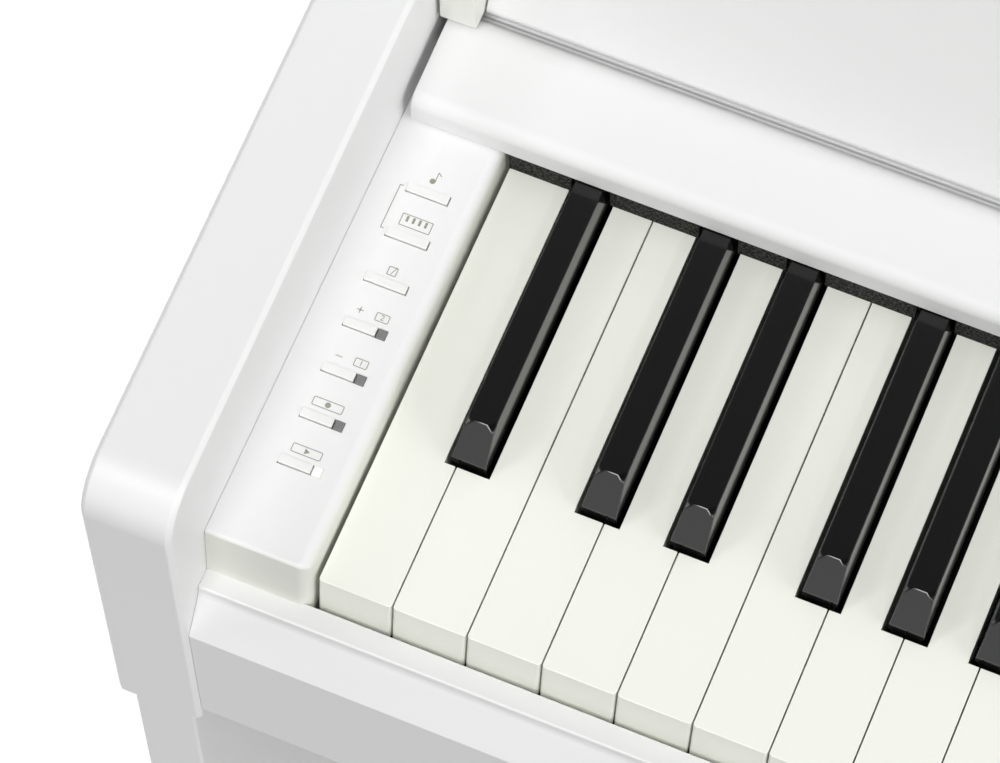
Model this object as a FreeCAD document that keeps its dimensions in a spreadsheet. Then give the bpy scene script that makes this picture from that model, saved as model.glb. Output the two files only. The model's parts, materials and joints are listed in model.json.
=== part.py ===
# Slim console digital piano on its stand: 88 hinged keys, a fold-back lid with a front flap,
# two end control blocks, and a knock-down stand with a three-pedal box.
#
# Frame: +X to the treble end, +Y to the back, +Z up, millimetres; the origin lies on the floor
# under the middle of the whole piano with its lid open. Pieces of the keyboard unit are drawn in a
# local frame on the keys: y = 0 at the white keys' front edge, z = 0 at the white keys' top.
# A body's Placement carries that local frame to its place.
import FreeCAD
import Part
import Sketcher
import math
import os

doc = FreeCAD.newDocument("digital_piano")
dim = doc.addObject("Spreadsheet::Sheet", "dim")

DRIVING_SIZES = {
    # place of the key frame of reference
    "key_front": -132.7,          # y of the white keys' front edge
    "cut_over": 1.0,              # how far a cutting outline runs past the face it opens
    "leg_height": 621.9,          # floor to the underside of the side arms
    "arm_under_keys": 100.9,      # underside of the side arms to the white keys' top
    # keyboard
    "white_pitch": 23.6,
    "white_count": 52,
    "key_gap": 0.7,
    "white_depth": 20.0,          # height of a white key's front face
    "front_draft": 2.1,           # how far that face leans forward at its foot
    "key_length": 238.0,
    "key_wall": 2.2,
    "key_roof": 2.4,
    "notch_front": 48.6,          # where the cut-outs beside the black keys start
    "notch_width": 14.4,
    "shift_cd": 2.3,              # C sharp to the left and D sharp to the right of the key joint
    "shift_fa": 3.4,              # F sharp to the left and A sharp to the right
    "black_front": 49.9,
    "black_foot": 3.0,            # upright foot of the black key's cap
    "black_run": 9.8,             # length of the cap's front slope
    "black_rise": 12.0,
    "black_foot_width": 11.2,
    "black_top_width": 9.0,
    "black_stick_width": 9.4,
    "black_cap_end": 172.0,
    "black_back_slope": 1.0,
    "stick_set_back": 0.6,        # start of the stick behind the cap's front foot
    "fulcrum_ahead": 12.0,        # line on which the keys rock, ahead of their tails
    "fulcrum_down": 12.0,
    "fulcrum_slot": 7.0,          # half width of the V cut in the key's underside
    "fulcrum_clear": 0.05,
    "key_solid": 22.0,            # solid stretch behind the hollow under a key
    # side arms
    "arm_space": 34.4,            # end of the keys to the arm's inner face
    "arm_thick": 28.5,
    "arm_ahead": 22.2,            # arm front, ahead of the key fronts
    "behind_keys": 35.8,          # keys' tails to the cabinet's back
    "arm_rise_front": 57.3,       # arm top above the keys, at its front
    "arm_rise_back": 69.2,
    "arm_nose": 17.5,
    "arm_edge": 1.5,
    "arm_corner": 4.0,
    # key slip
    "slip_top": 13.0,             # slip ledge below the keys' top
    "slip_back": 3.9,
    "slip_ledge": 11.2,
    "slip_step": 3.4,
    "slip_cove": 6.0,             # hollow round between the step and the sloping face
    "slip_front": 20.8,
    "slip_brow": 31.0,
    "slip_foot": 94.0,
    "slip_round": 1.0,
    "slip_edge": 0.8,
    "slip_draft": 0.4,
    "fit_gap": 0.3,               # joinery gap between panels
    # bed and back
    "bed_thick": 15.0,
    "board_thick": 12.0,
    # end blocks
    "block_out": 33.7,            # end of the keys to the block's outer side
    "block_in": 1.2,
    "block_top": 11.9,
    "block_front_foot": 4.9,
    "block_front_top": 2.9,
    "block_round": 1.3,
    "block_corner": 4.0,          # upright corner beside the keys
    "block_back": 172.0,
    "block_wall": 2.2,
    "post_half": 2.6,
    "post_front": 16.0,            # screw posts under the roof
    "post_back": 136.0,
    "stem_half": 1.5,
    # buttons on the left block
    "button_pitch": 16.0,
    "button_first": 25.0,         # front edge of the button nearest the player
    "button_left": 23.6,          # left edge, from the end of the keys
    "button_width": 13.9,
    "button_depth": 3.4,
    "button_clear": 0.15,
    "button_proud": 0.5,
    "button_flange": 1.2,
    "button_flange_thick": 1.0,
    "button_stem": 6.0,
    "button_travel": 0.8,
    "lamp_width": 3.0,
    "lamp_count": 4,
    "switch_board_thick": 1.6,
    "switch_rise": 1.6,
    "switch_half": 2.2,
    "switch_board_inset": 2.0,
    "switch_board_front": 8.0,
    "switch_board_back": 150.0,
    # right block controls
    "power_width": 13.0,
    "power_depth": 9.0,
    "power_place": 98.0,
    "power_proud": 1.0,
    "volume_slot_width": 2.4,
    "volume_slot_length": 42.0,
    "volume_place": 30.0,
    "volume_cap_width": 8.0,
    "volume_cap_depth": 10.0,
    "volume_cap_rise": 5.0,
    "volume_cap_taper": 1.5,
    "volume_cap_dish": 1.2,
    "volume_stem_half": 2.5,
    "slide_half": 4.0,            # body of the slide control on its board
    "slide_body": 3.0,
    # fallboard
    "nose_front": 143.9,
    "nose_foot": 12.6,
    "nose_top": 24.4,
    "nose_round": 5.0,
    "nose_inset": 31.4,           # end of the keys to the fallboard's end
    "nose_back": 177.8,
    "nose_back_top": 26.6,
    "nose_back_round": 1.0,
    "trough_top": 19.8,
    "felt_front": 1.4,            # felt behind the fallboard's front face
    "felt_thick": 2.4,
    "felt_rise": 0.8,             # felt above the white keys
    "felt_seat": 18.0,
    "felt_notch": 12.6,           # width of the cut-out for a black key
    "felt_over_black": 0.5,
    # lid
    "lid_edge_back": 178.3,       # lower front edge of the open lid
    "lid_edge_up": 27.0,
    "lid_lean": 23.0,             # lean of the open lid, degrees from upright
    "lid_length": 246.0,
    "lid_thick": 15.0,
    "lid_round": 2.0,
    "lid_end_gap": 1.0,
    "cover_gap": 0.6,             # lid's tail to the hinge cover
    "pivot_up": 31.0,             # hinge pin above the lid's lower edge, along the lid
    "pivot_in": 4.6,              # hinge pin behind the lid's front face
    "notch_long": 59.0,           # corner cut-out round the hinge cover
    "cover_out": 33.2,
    "cover_in": 21.8,
    "cover_front": 171.3,
    "cover_foot": 27.0,
    "cover_back": 217.0,
    "cover_top": 63.6,
    "cover_round": 5.0,
    "cover_foot_round": 3.5,
    "pin_radius": 3.0,
    "pin_clear": 0.05,
    "pin_in_arm": 12.0,
    "pin_in_lid": 14.0,
    "flap_length": 52.0,
    "flap_thick": 12.0,
    "flap_gap": 0.3,
    "flap_pin_back": 12.2,        # flap hinge pin back from the lid's far edge
    "flap_pin_radius": 1.2,
    "flap_set_back": 1.0,
    "groove_room": 1.4,           # room round the flap's hinge pin
    "groove_clear": 0.2,
    "hinge_inset": 2.0,
    "knuckle_gap": 4.0,
    "leaf_thick": 0.8,
    "leaf_long": 14.0,
    "rear_board_front": 228.6,
    "rear_board_down": 1.5,
    # key frame
    "frame_front": 4.0,
    "frame_wall": 3.0,
    "frame_floor": 42.0,
    "pillar_neck": 1.0,
    "rail_top": 31.0,
    "rail_deep": 16.0,
    "rest_felt": 0.7,
    "rest_felt_inset": 1.5,
    # electronics and sound
    "board_long": 240.0,
    "board_deep": 110.0,
    "board_rise": 6.0,
    "main_board_front": 60.0,
    "board_post_half": 3.0,
    "board_post_inset": 8.0,
    "speaker_radius": 55.0,
    "speaker_place": 420.0,
    "speaker_back": 120.0,
    "speaker_deep": 34.0,
    "speaker_rim": 3.0,
    "speaker_lip": 4.0,           # seat of the rim round its opening
    "magnet_radius": 30.0,
    "magnet_thick": 12.0,
    "grille_thick": 1.5,
    "grille_rim": 5.0,
    "grille_margin": 8.0,
    "grille_pitch": 17.0,
    "grille_slot": 6.0,
    "jack_radius": 3.2,
    "jack_depth": 14.0,
    "jack_box_long": 90.0,
    "jack_box_deep": 62.0,
    "jack_box_high": 26.0,
    "jack_box_inset": 30.0,
    "jack_box_front": 8.0,
    "jack_box_nose": 4.0,
    "jack_box_heel": 12.0,
    "jack_pitch": 36.0,
    "inlet_long": 120.0,
    "inlet_high": 34.0,
    "inlet_from_end": 228.0,
    "inlet_rise": 8.0,
    "socket_box_deep": 26.0,
    "socket_recess": 1.0,
    "socket_first": 18.0,
    "socket_pitch": 30.0,
    "socket_depth": 12.0,
    "pedal_plug_radius": 3.2,
    "supply_plug_radius": 2.8,
    "data_plug_place": 78.0,
    "data_plug_long": 12.0,
    "data_plug_half": 5.5,
    # stand
    "side_out": 57.2,             # end of the keys to the stand side's outer face
    "side_in": 37.0,
    "side_front": 21.9,
    "side_back": 232.0,
    "side_round": 8.0,
    "brace_down": 21.9,           # brace's top below the side boards' top
    "brace_high": 300.0,
    "brace_back": 205.0,
    "pedal_box_low": 38.0,
    "pedal_box_high": 92.0,
    "pedal_box_deep": 62.0,
    "pedal_box_back": 218.0,
    "pedal_box_wall": 12.0,
    "box_bolt_down": 28.0,
    "axle_to_wall": 14.0,
    "cheek_out": 30.0,            # cheeks that hold the rod, beyond the outer pedals
    "cheek_half": 10.0,
    "cheek_thick": 8.0,
    "pedal_rod_radius": 4.0,
    "pedal_lug": 7.5,
    "pedal_neck_end": 18.0,       # both ahead of the box's front
    "pedal_blade_start": 56.0,
    "pedal_toe": 11.0,
    "pedal_pitch": 72.0,
    "pedal_width": 24.0,
    "pedal_neck": 13.0,
    "pedal_reach": 92.0,
    "pedal_thick": 6.0,
    "pedal_rise": 62.0,
    "pedal_slot_down": 14.0,
    "pedal_clear": 1.2,
    "adjuster_radius": 16.0,
    "adjuster_high": 14.0,
    "adjuster_stem": 6.0,
    "glide_wide": 14.0,
    "glide_long": 40.0,
    "glide_inset": 24.0,
    "glide_thick": 3.0,
    "bolt_head": 5.0,
    "bolt_head_thick": 2.2,
    "bolt_radius": 2.5,
    "bolt_length": 26.0,
    "bolt_inset": 30.0,
}

for row, (alias, size) in enumerate(DRIVING_SIZES.items(), start=1):
    dim.set(f"A{row}", alias)
    dim.set(f"B{row}", str(size))
    dim.setAlias(f"B{row}", alias)
doc.recompute()

HALF_KEYS = "(dim.white_count * dim.white_pitch / 2)"
ARM_INNER = f"({HALF_KEYS} + dim.arm_space)"
KEY_PLANE = "(dim.leg_height + dim.arm_under_keys)"
ARM_BACK = "(dim.key_length + dim.behind_keys)"
CABINET_DEPTH = f"({ARM_BACK} + dim.arm_ahead)"
ARM_SLOPE = f"((dim.arm_rise_back - dim.arm_rise_front) / {CABINET_DEPTH})"
FULCRUM = "(dim.key_length - dim.fulcrum_ahead)"


def worth(expression):
    """Number that an expression in the sheet's sizes gives now."""
    return float(dim.evalExpression(str(expression)))


def place(piece, x="0", y="0", z="0", tilt=None):
    """Bind a piece's place; tilt turns it about its own X axis, in degrees."""
    if tilt is not None:
        level = FreeCAD.Rotation(FreeCAD.Vector(1, 0, 0), worth(tilt))
        piece.Placement = FreeCAD.Placement(FreeCAD.Vector(), level)
        piece.setExpression("Placement.Rotation.Angle", str(tilt))
    piece.setExpression("Placement.Base.x", str(x))
    piece.setExpression("Placement.Base.y", str(y))
    piece.setExpression("Placement.Base.z", str(z))
    return piece


def on_keys(piece, x="0", y="0", z="0", tilt=None):
    """Put a piece drawn in the keys' frame where the keys are."""
    return place(piece, x, f"dim.key_front + {y}", f"{KEY_PLANE} + {z}", tilt)


def new_body(label):
    body = doc.addObject("PartDesign::Body", label)
    body.Label = label
    return body


def new_sketch(body, plane, offset="0"):
    """Sketch on one of the body's own origin planes, moved along the plane's normal."""
    sketch = body.newObject("Sketcher::SketchObject", f"{body.Name}_outline")
    origin_plane = [f for f in body.Origin.OriginFeatures if f.Role == plane][0]
    sketch.AttachmentSupport = [(origin_plane, "")]
    sketch.MapMode = "FlatFace"
    sketch.setExpression("AttachmentOffset.Base.z", str(offset))
    return sketch


def bind(sketch, kind, *where_and_size):
    """Dimension a sketch element with an expression."""
    *where, size = where_and_size
    index = sketch.addConstraint(Sketcher.Constraint(kind, *where, worth(size)))
    sketch.setExpression(f"Constraints[{index}]", str(size))


def draw_outline(sketch, corners):
    """Closed outline through corners (x, y[, radius]); a corner with a radius becomes an arc."""
    places = [FreeCAD.Vector(worth(c[0]), worth(c[1]), 0) for c in corners]
    count = len(corners)
    arrive, leave, arcs = [], [], {}
    for i, corner in enumerate(corners):
        here = places[i]
        back = (places[i - 1] - here).normalize()
        ahead = (places[(i + 1) % count] - here).normalize()
        if len(corner) < 3:
            arrive.append(here)
            leave.append(here)
            continue
        radius = worth(corner[2])
        half_angle = back.getAngle(ahead) / 2
        run = radius / math.tan(half_angle)
        arrive.append(here + back * run)
        leave.append(here + ahead * run)
        middle = here + (back + ahead).normalize() * (radius / math.sin(half_angle))
        arcs[i] = (middle, radius)
    lines = []
    for i in range(count):
        segment = Part.LineSegment(leave[i], arrive[(i + 1) % count])
        lines.append(sketch.addGeometry(segment))
    for i, corner in enumerate(corners):
        before, after = lines[i - 1], lines[i]
        if i not in arcs:
            sketch.addConstraint(Sketcher.Constraint("Coincident", before, 2, after, 1))
            bind(sketch, "DistanceX", after, 1, corner[0])
            bind(sketch, "DistanceY", after, 1, corner[1])
            continue
        middle, radius = arcs[i]
        start = math.atan2(arrive[i].y - middle.y, arrive[i].x - middle.x)
        end = math.atan2(leave[i].y - middle.y, leave[i].x - middle.x)
        turns_left = (end - start) % (2 * math.pi) < math.pi
        circle = Part.Circle(middle, FreeCAD.Vector(0, 0, 1), radius)
        first, last = (start, end) if turns_left else (end, start)
        arc = sketch.addGeometry(Part.ArcOfCircle(circle, first, last))
        from_before, to_after = (1, 2) if turns_left else (2, 1)
        sketch.addConstraint(Sketcher.Constraint("Tangent", before, 2, arc, from_before))
        sketch.addConstraint(Sketcher.Constraint("Tangent", arc, to_after, after, 1))
        bind(sketch, "Radius", arc, corner[2])
        tip = sketch.addGeometry(Part.Point(places[i]), True)
        sketch.addConstraint(Sketcher.Constraint("PointOnObject", tip, 1, before))
        sketch.addConstraint(Sketcher.Constraint("PointOnObject", tip, 1, after))
        bind(sketch, "DistanceX", tip, 1, corner[0])
        bind(sketch, "DistanceY", tip, 1, corner[1])


def draw_circle(sketch, x, y, radius):
    circle = Part.Circle(FreeCAD.Vector(worth(x), worth(y), 0), FreeCAD.Vector(0, 0, 1), worth(radius))
    ring = sketch.addGeometry(circle)
    bind(sketch, "DistanceX", ring, 3, x)
    bind(sketch, "DistanceY", ring, 3, y)
    bind(sketch, "Radius", ring, radius)


def rectangle(left, low, right, high):
    return [(left, low), (right, low), (right, high), (left, high)]


def square(x, y, half):
    return rectangle(f"{x} - {half}", f"{y} - {half}", f"{x} + {half}", f"{y} + {half}")


def polygon(x, y, radius, sides):
    """Corners of a regular polygon round (x, y)."""
    turns = [360 * number / sides for number in range(sides)]
    return [(f"{x} + {radius} * cos({turn})", f"{y} + {radius} * sin({turn})") for turn in turns]


def pad(body, plane, corners, length, offset="0", reverse=False):
    """Add an outline's prism to a body; corners may be a (x, y, radius) circle."""
    return extrude(body, "PartDesign::Pad", plane, corners, length, offset, reverse)


def pocket(body, plane, corners, length, offset="0", reverse=False):
    """Cut an outline's prism from a body, towards the plane's back unless reversed."""
    return extrude(body, "PartDesign::Pocket", plane, corners, length, offset, reverse)


def extrude(body, kind, plane, corners, length, offset, reverse):
    sketch = new_sketch(body, plane, offset)
    if isinstance(corners, tuple):
        draw_circle(sketch, *corners)
    else:
        draw_outline(sketch, corners)
    feature = body.newObject(kind, f"{body.Name}_{kind[12:].lower()}")
    feature.Profile = sketch
    feature.setExpression("Length", str(length))
    feature.Reversed = reverse
    sketch.Visibility = False
    return feature


def turned(body, corners, plane="XZ_Plane"):
    """Add a profile (radius, height) turned about the body's Z axis."""
    sketch = new_sketch(body, plane)
    draw_outline(sketch, corners)
    feature = body.newObject("PartDesign::Revolution", f"{body.Name}_turned")
    feature.Profile = sketch
    feature.ReferenceAxis = (sketch, ["V_Axis"])
    return feature


def round_edges(body, radius, chosen, kind="PartDesign::Fillet"):
    """Round or chamfer the edges of the body's last feature that the test chooses."""
    doc.recompute()
    base = body.Tip
    names = [f"Edge{n}" for n, edge in enumerate(base.Shape.Edges, start=1) if chosen(edge)]
    feature = body.newObject(kind, f"{body.Name}_edges")
    feature.Base = (base, names)
    feature.setExpression("Radius" if kind.endswith("Fillet") else "Size", str(radius))
    return feature


NEAR = 1e-4


def at(number, expression):
    """True where a number equals an expression's value."""
    return abs(number - worth(expression)) < NEAR


def side_name(side):
    return "left" if side < 0 else "right"


def ends(side, near, far):
    """X limits of a piece at one end, in growing order, from distances past the end of the keys."""
    near_x = f"({HALF_KEYS} + {near})"
    far_x = f"({HALF_KEYS} + {far})"
    return (near_x, far_x) if side > 0 else (f"(-{far_x})", f"(-{near_x})")


# --- side arms: painted boards that carry the whole keyboard unit ---------------------------------
LID_PIN_Y = "(dim.lid_edge_back + dim.pivot_up * sin(dim.lid_lean) + dim.pivot_in * cos(dim.lid_lean))"
LID_PIN_Z = "(dim.lid_edge_up + dim.pivot_up * cos(dim.lid_lean) - dim.pivot_in * sin(dim.lid_lean))"


def is_arm_edge(edge):
    """The long edges of an arm's two faces, except those along its foot and its back."""
    box = edge.BoundBox
    above_foot = box.ZMin > -worth("dim.arm_under_keys") + NEAR
    return box.XLength < NEAR and (above_foot or at(box.YMax, "-dim.arm_ahead"))


for side in (-1, 1):
    arm = new_body(f"side_arm_{side_name(side)}")
    low_x, high_x = ends(side, "dim.arm_space", "dim.arm_space + dim.arm_thick")
    pad(arm, "YZ_Plane", [
        ("-dim.arm_ahead", "-dim.arm_under_keys"),
        (ARM_BACK, "-dim.arm_under_keys"),
        (ARM_BACK, "dim.arm_rise_back", "dim.arm_corner"),
        ("-dim.arm_ahead", "dim.arm_rise_front", "dim.arm_nose"),
    ], "dim.arm_thick", low_x)
    round_edges(arm, "dim.arm_edge", is_arm_edge, "PartDesign::Chamfer")
    pocket(arm, "YZ_Plane", (LID_PIN_Y, LID_PIN_Z, "dim.pin_radius"), "dim.pin_in_arm",
           high_x if side < 0 else low_x, reverse=side > 0)
    on_keys(arm)

# --- key slip: the long moulded rail in front of the keys ----------------------------------------
slip = new_body("key_slip")
pad(slip, "YZ_Plane", [
    ("-dim.slip_back", "-dim.slip_foot"),
    ("-dim.slip_back", "-dim.slip_top"),
    ("-dim.slip_ledge", "-dim.slip_top", "dim.slip_edge"),
    ("-dim.slip_ledge - dim.slip_draft", "-dim.slip_top - dim.slip_step", "dim.slip_cove"),
    ("-dim.slip_front", "-dim.slip_brow", "dim.slip_round"),
    ("-dim.slip_front", "-dim.slip_foot"),
], f"2 * {ARM_INNER}", f"-{ARM_INNER}")
on_keys(slip)

# --- bottom board: carries the key frame, the end blocks and the speakers ------------------------
bed = new_body("bottom_board")
BED_TOP = "(-dim.slip_foot + dim.bed_thick)"
BED_FRONT = "(-dim.slip_back + dim.fit_gap)"
BED_BACK = f"({ARM_BACK} - dim.board_thick - dim.fit_gap)"
pad(bed, "XY_Plane", rectangle(f"-{ARM_INNER}", BED_FRONT, ARM_INNER, BED_BACK),
    "dim.bed_thick", "-dim.slip_foot")
for side in (-1, 1):
    pocket(bed, "XY_Plane", (f"{side} * dim.speaker_place", "dim.speaker_back",
                             "dim.speaker_radius - dim.speaker_lip"), "dim.bed_thick", BED_TOP)
on_keys(bed)

# --- back panel and rear top board -----------------------------------------------------------------
back = new_body("back_panel")
REAR_TOP = "(dim.arm_rise_back - dim.rear_board_down)"
TOP_FRONT_RISE = (f"(dim.arm_rise_front + {ARM_SLOPE} * (dim.rear_board_front + dim.arm_ahead)"
                  " - dim.rear_board_down)")
pad(back, "XZ_Plane", rectangle(f"-{ARM_INNER}", "-dim.slip_foot", ARM_INNER,
                                f"{TOP_FRONT_RISE} - dim.lid_thick - dim.fit_gap"),
    "dim.board_thick", f"-{ARM_BACK}")
INLET_LEFT = f"({ARM_INNER} - dim.inlet_from_end)"
WINDOW_LOW = f"({BED_TOP} + dim.inlet_rise)"
pocket(back, "XZ_Plane", rectangle(INLET_LEFT, WINDOW_LOW, f"{INLET_LEFT} + dim.inlet_long",
                                   f"{WINDOW_LOW} + dim.inlet_high"),
       "dim.board_thick", f"-{ARM_BACK}", reverse=True)
on_keys(back)

top = new_body("rear_top_board")
pad(top, "YZ_Plane", [
    ("dim.rear_board_front", f"{TOP_FRONT_RISE} - dim.lid_thick"),
    (ARM_BACK, f"{REAR_TOP} - dim.lid_thick"),
    (ARM_BACK, REAR_TOP, "dim.lid_round"),
    ("dim.rear_board_front", TOP_FRONT_RISE, "dim.lid_round"),
], f"2 * {ARM_INNER}", f"-{ARM_INNER}")
on_keys(top)

# --- fallboard: rounded nose over the keys' tails, with the lid's trough behind it -----------------
fall = new_body("fallboard")
FALL_END = f"({HALF_KEYS} + dim.nose_inset)"
pad(fall, "YZ_Plane", [
    ("dim.nose_front", "dim.nose_foot"),
    ("dim.nose_front + dim.felt_front", "dim.nose_foot"),
    ("dim.nose_front + dim.felt_front", "dim.felt_seat"),
    ("dim.nose_front + dim.felt_front + dim.felt_thick", "dim.felt_seat"),
    ("dim.nose_front + dim.felt_front + dim.felt_thick", "dim.nose_foot"),
    (BED_BACK, "dim.nose_foot"),
    (BED_BACK, "dim.trough_top"),
    ("dim.nose_back", "dim.trough_top"),
    ("dim.nose_back", "dim.nose_back_top", "dim.nose_back_round"),
    ("dim.nose_front", "dim.nose_top", "dim.nose_round"),
], f"2 * {FALL_END}", f"-{FALL_END}")
on_keys(fall)

# --- felt strip seated behind the fallboard's lip, notched for the black keys ----------------------
NOTES = "ABCDEFG"
SHARP_SHIFT = {"A": "dim.shift_fa", "C": "-dim.shift_cd", "D": "dim.shift_cd",
               "F": "-dim.shift_fa", "G": "0"}


def note_of(index):
    return NOTES[index % len(NOTES)]


def sharp_after(index):
    """Shift of the black key above white key index, or None where there is none."""
    last = int(worth("dim.white_count")) - 1
    return SHARP_SHIFT.get(note_of(index)) if 0 <= index < last else None


def octave_of(index):
    """Octave number of a white key; the numbers step up at each C."""
    return (index + 5) // len(NOTES)


def sharp_middle(index):
    return f"(-{HALF_KEYS} + {index + 1} * dim.white_pitch + {sharp_after(index)})"


SHARP_PLACES = [i for i in range(int(worth("dim.white_count"))) if sharp_after(i) is not None]

felt_strip = doc.addObject("Part::Box", "felt_strip")
FELT_END = f"({HALF_KEYS} - dim.key_gap / 2)"
felt_strip.setExpression("Length", f"2 * {FELT_END}")
felt_strip.setExpression("Width", "dim.felt_thick")
felt_strip.setExpression("Height", "dim.felt_seat - dim.felt_rise")
FELT_PLACE = ("dim.nose_front + dim.felt_front", "dim.felt_rise")
on_keys(felt_strip, f"-{FELT_END}", *FELT_PLACE)
felt_cuts = []
for index in SHARP_PLACES:
    cut = doc.addObject("Part::Box", f"felt_cut_{index}")
    cut.setExpression("Length", "dim.felt_notch")
    cut.setExpression("Width", "dim.felt_thick")
    cut.setExpression("Height", "dim.black_rise + dim.felt_over_black - dim.felt_rise")
    on_keys(cut, f"{sharp_middle(index)} - dim.felt_notch / 2", *FELT_PLACE)
    felt_cuts.append(cut)
felt_gaps = doc.addObject("Part::Compound", "felt_gaps")
felt_gaps.Links = felt_cuts
felt = doc.addObject("Part::Cut", "key_felt")
felt.Base = felt_strip
felt.Tool = felt_gaps

# --- keys: open-bottomed shells that rock on one ridge; the fronts of the whites are drafted --------
ROCKER = [
    ("dim.key_length", "-dim.white_depth"),
    (f"{FULCRUM} + dim.fulcrum_slot", "-dim.white_depth"),
    (FULCRUM, "-dim.fulcrum_down + dim.fulcrum_clear"),
    (f"{FULCRUM} - dim.fulcrum_slot", "-dim.white_depth"),
]


def white_key(label, index):
    """One white key; its plan is cut back beside each black neighbour."""
    key = new_body(label)
    left_shift, right_shift = sharp_after(index - 1), sharp_after(index)
    pad(key, "YZ_Plane", [
        ("-dim.front_draft", "-dim.white_depth"),
        ("0", "0"),
        ("dim.key_length", "0"),
    ] + ROCKER, "dim.white_pitch - dim.key_gap", "dim.key_gap / 2")
    head_left, head_right = "dim.key_gap / 2", "dim.white_pitch - dim.key_gap / 2"
    tail_left, tail_right = head_left, head_right
    behind = "dim.key_length + dim.cut_over"
    if left_shift is not None:
        tail_left = f"{left_shift} + dim.notch_width / 2"
        pocket(key, "XY_Plane", rectangle("-dim.cut_over", "dim.notch_front", tail_left, behind),
               "dim.white_depth")
    if right_shift is not None:
        tail_right = f"dim.white_pitch + {right_shift} - dim.notch_width / 2"
        pocket(key, "XY_Plane", rectangle(tail_right, "dim.notch_front",
                                          "dim.white_pitch + dim.cut_over", behind), "dim.white_depth")
    hollow = [(f"{head_left} + dim.key_wall", "dim.key_wall"),
              (f"{head_right} - dim.key_wall", "dim.key_wall")]
    shoulder = "dim.notch_front - dim.key_wall"
    if right_shift is not None:
        hollow += [(f"{head_right} - dim.key_wall", shoulder), (f"{tail_right} - dim.key_wall", shoulder)]
    hollow_end = "dim.key_length - dim.key_solid"
    hollow += [(f"{tail_right} - dim.key_wall", hollow_end),
               (f"{tail_left} + dim.key_wall", hollow_end)]
    if left_shift is not None:
        hollow += [(f"{tail_left} + dim.key_wall", shoulder), (f"{head_left} + dim.key_wall", shoulder)]
    pocket(key, "XY_Plane", hollow, "dim.white_depth - dim.key_roof", "-dim.white_depth", reverse=True)
    return on_keys(key, f"-{HALF_KEYS} + {index} * dim.white_pitch")


def black_key(label, index):
    """One black key: a cap with drafted sides on the stick that rocks beside the whites' tails."""
    key = new_body(label)
    pad(key, "YZ_Plane", [
        ("dim.black_front", "0"),
        ("dim.black_cap_end", "0"),
        ("dim.black_cap_end - dim.black_back_slope", "dim.black_rise"),
        ("dim.black_front + dim.black_run", "dim.black_rise"),
        ("dim.black_front", "dim.black_foot"),
    ], "dim.black_foot_width", "-dim.black_foot_width / 2")
    for side in (-1, 1):
        foot_x = f"{side} * dim.black_foot_width / 2"
        ridge_x = f"{side} * dim.black_top_width / 2"
        clear_x = f"{side} * (dim.black_foot_width / 2 + dim.cut_over)"
        pocket(key, "XZ_Plane", [
            (foot_x, "dim.black_foot"),
            (ridge_x, "dim.black_rise"),
            (ridge_x, "dim.black_rise + dim.cut_over"),
            (clear_x, "dim.black_rise + dim.cut_over"),
            (clear_x, "dim.black_foot"),
        ], "dim.black_cap_end - dim.black_front + 2 * dim.cut_over", "-dim.black_front + dim.cut_over")
    pad(key, "YZ_Plane", [
        ("dim.black_front + dim.stick_set_back", "-dim.white_depth"),
        ("dim.black_front + dim.stick_set_back", "0"),
        ("dim.key_length", "0"),
    ] + ROCKER, "dim.black_stick_width", "-dim.black_stick_width / 2")
    return on_keys(key, sharp_middle(index))


SINGLE_WHITES = 8
SINGLE_BLACKS = 5
LAST_WHITE = int(worth("dim.white_count")) - 1
white_patterns, black_patterns = {}, {}
single_keys = []
for index in range(SINGLE_WHITES):
    key = white_key(f"white_key_{note_of(index)}{octave_of(index)}", index)
    white_patterns[note_of(index)] = (key, index)
    single_keys.append(key)
for index in SHARP_PLACES[:SINGLE_BLACKS]:
    key = black_key(f"black_key_{note_of(index)}s{octave_of(index)}", index)
    black_patterns[note_of(index)] = (key, index)
    single_keys.append(key)
top_white = white_key("top_white_key", LAST_WHITE)
doc.recompute()


def copied(patterns, index):
    """The key of the same note again, moved from where it was drawn to white place index."""
    pattern, start = patterns[note_of(index)]
    return pattern.Shape.translated(FreeCAD.Vector((index - start) * worth("dim.white_pitch"), 0, 0))


upper_whites = [copied(white_patterns, index) for index in range(SINGLE_WHITES, LAST_WHITE)]
white_keys_upper = doc.addObject("Part::Feature", "white_keys_upper")
white_keys_upper.Shape = Part.makeCompound(upper_whites + [top_white.Shape])
upper_blacks = [copied(black_patterns, index) for index in SHARP_PLACES[SINGLE_BLACKS:]]
black_keys_upper = doc.addObject("Part::Feature", "black_keys_upper")
black_keys_upper.Shape = Part.makeCompound(upper_blacks)

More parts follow.
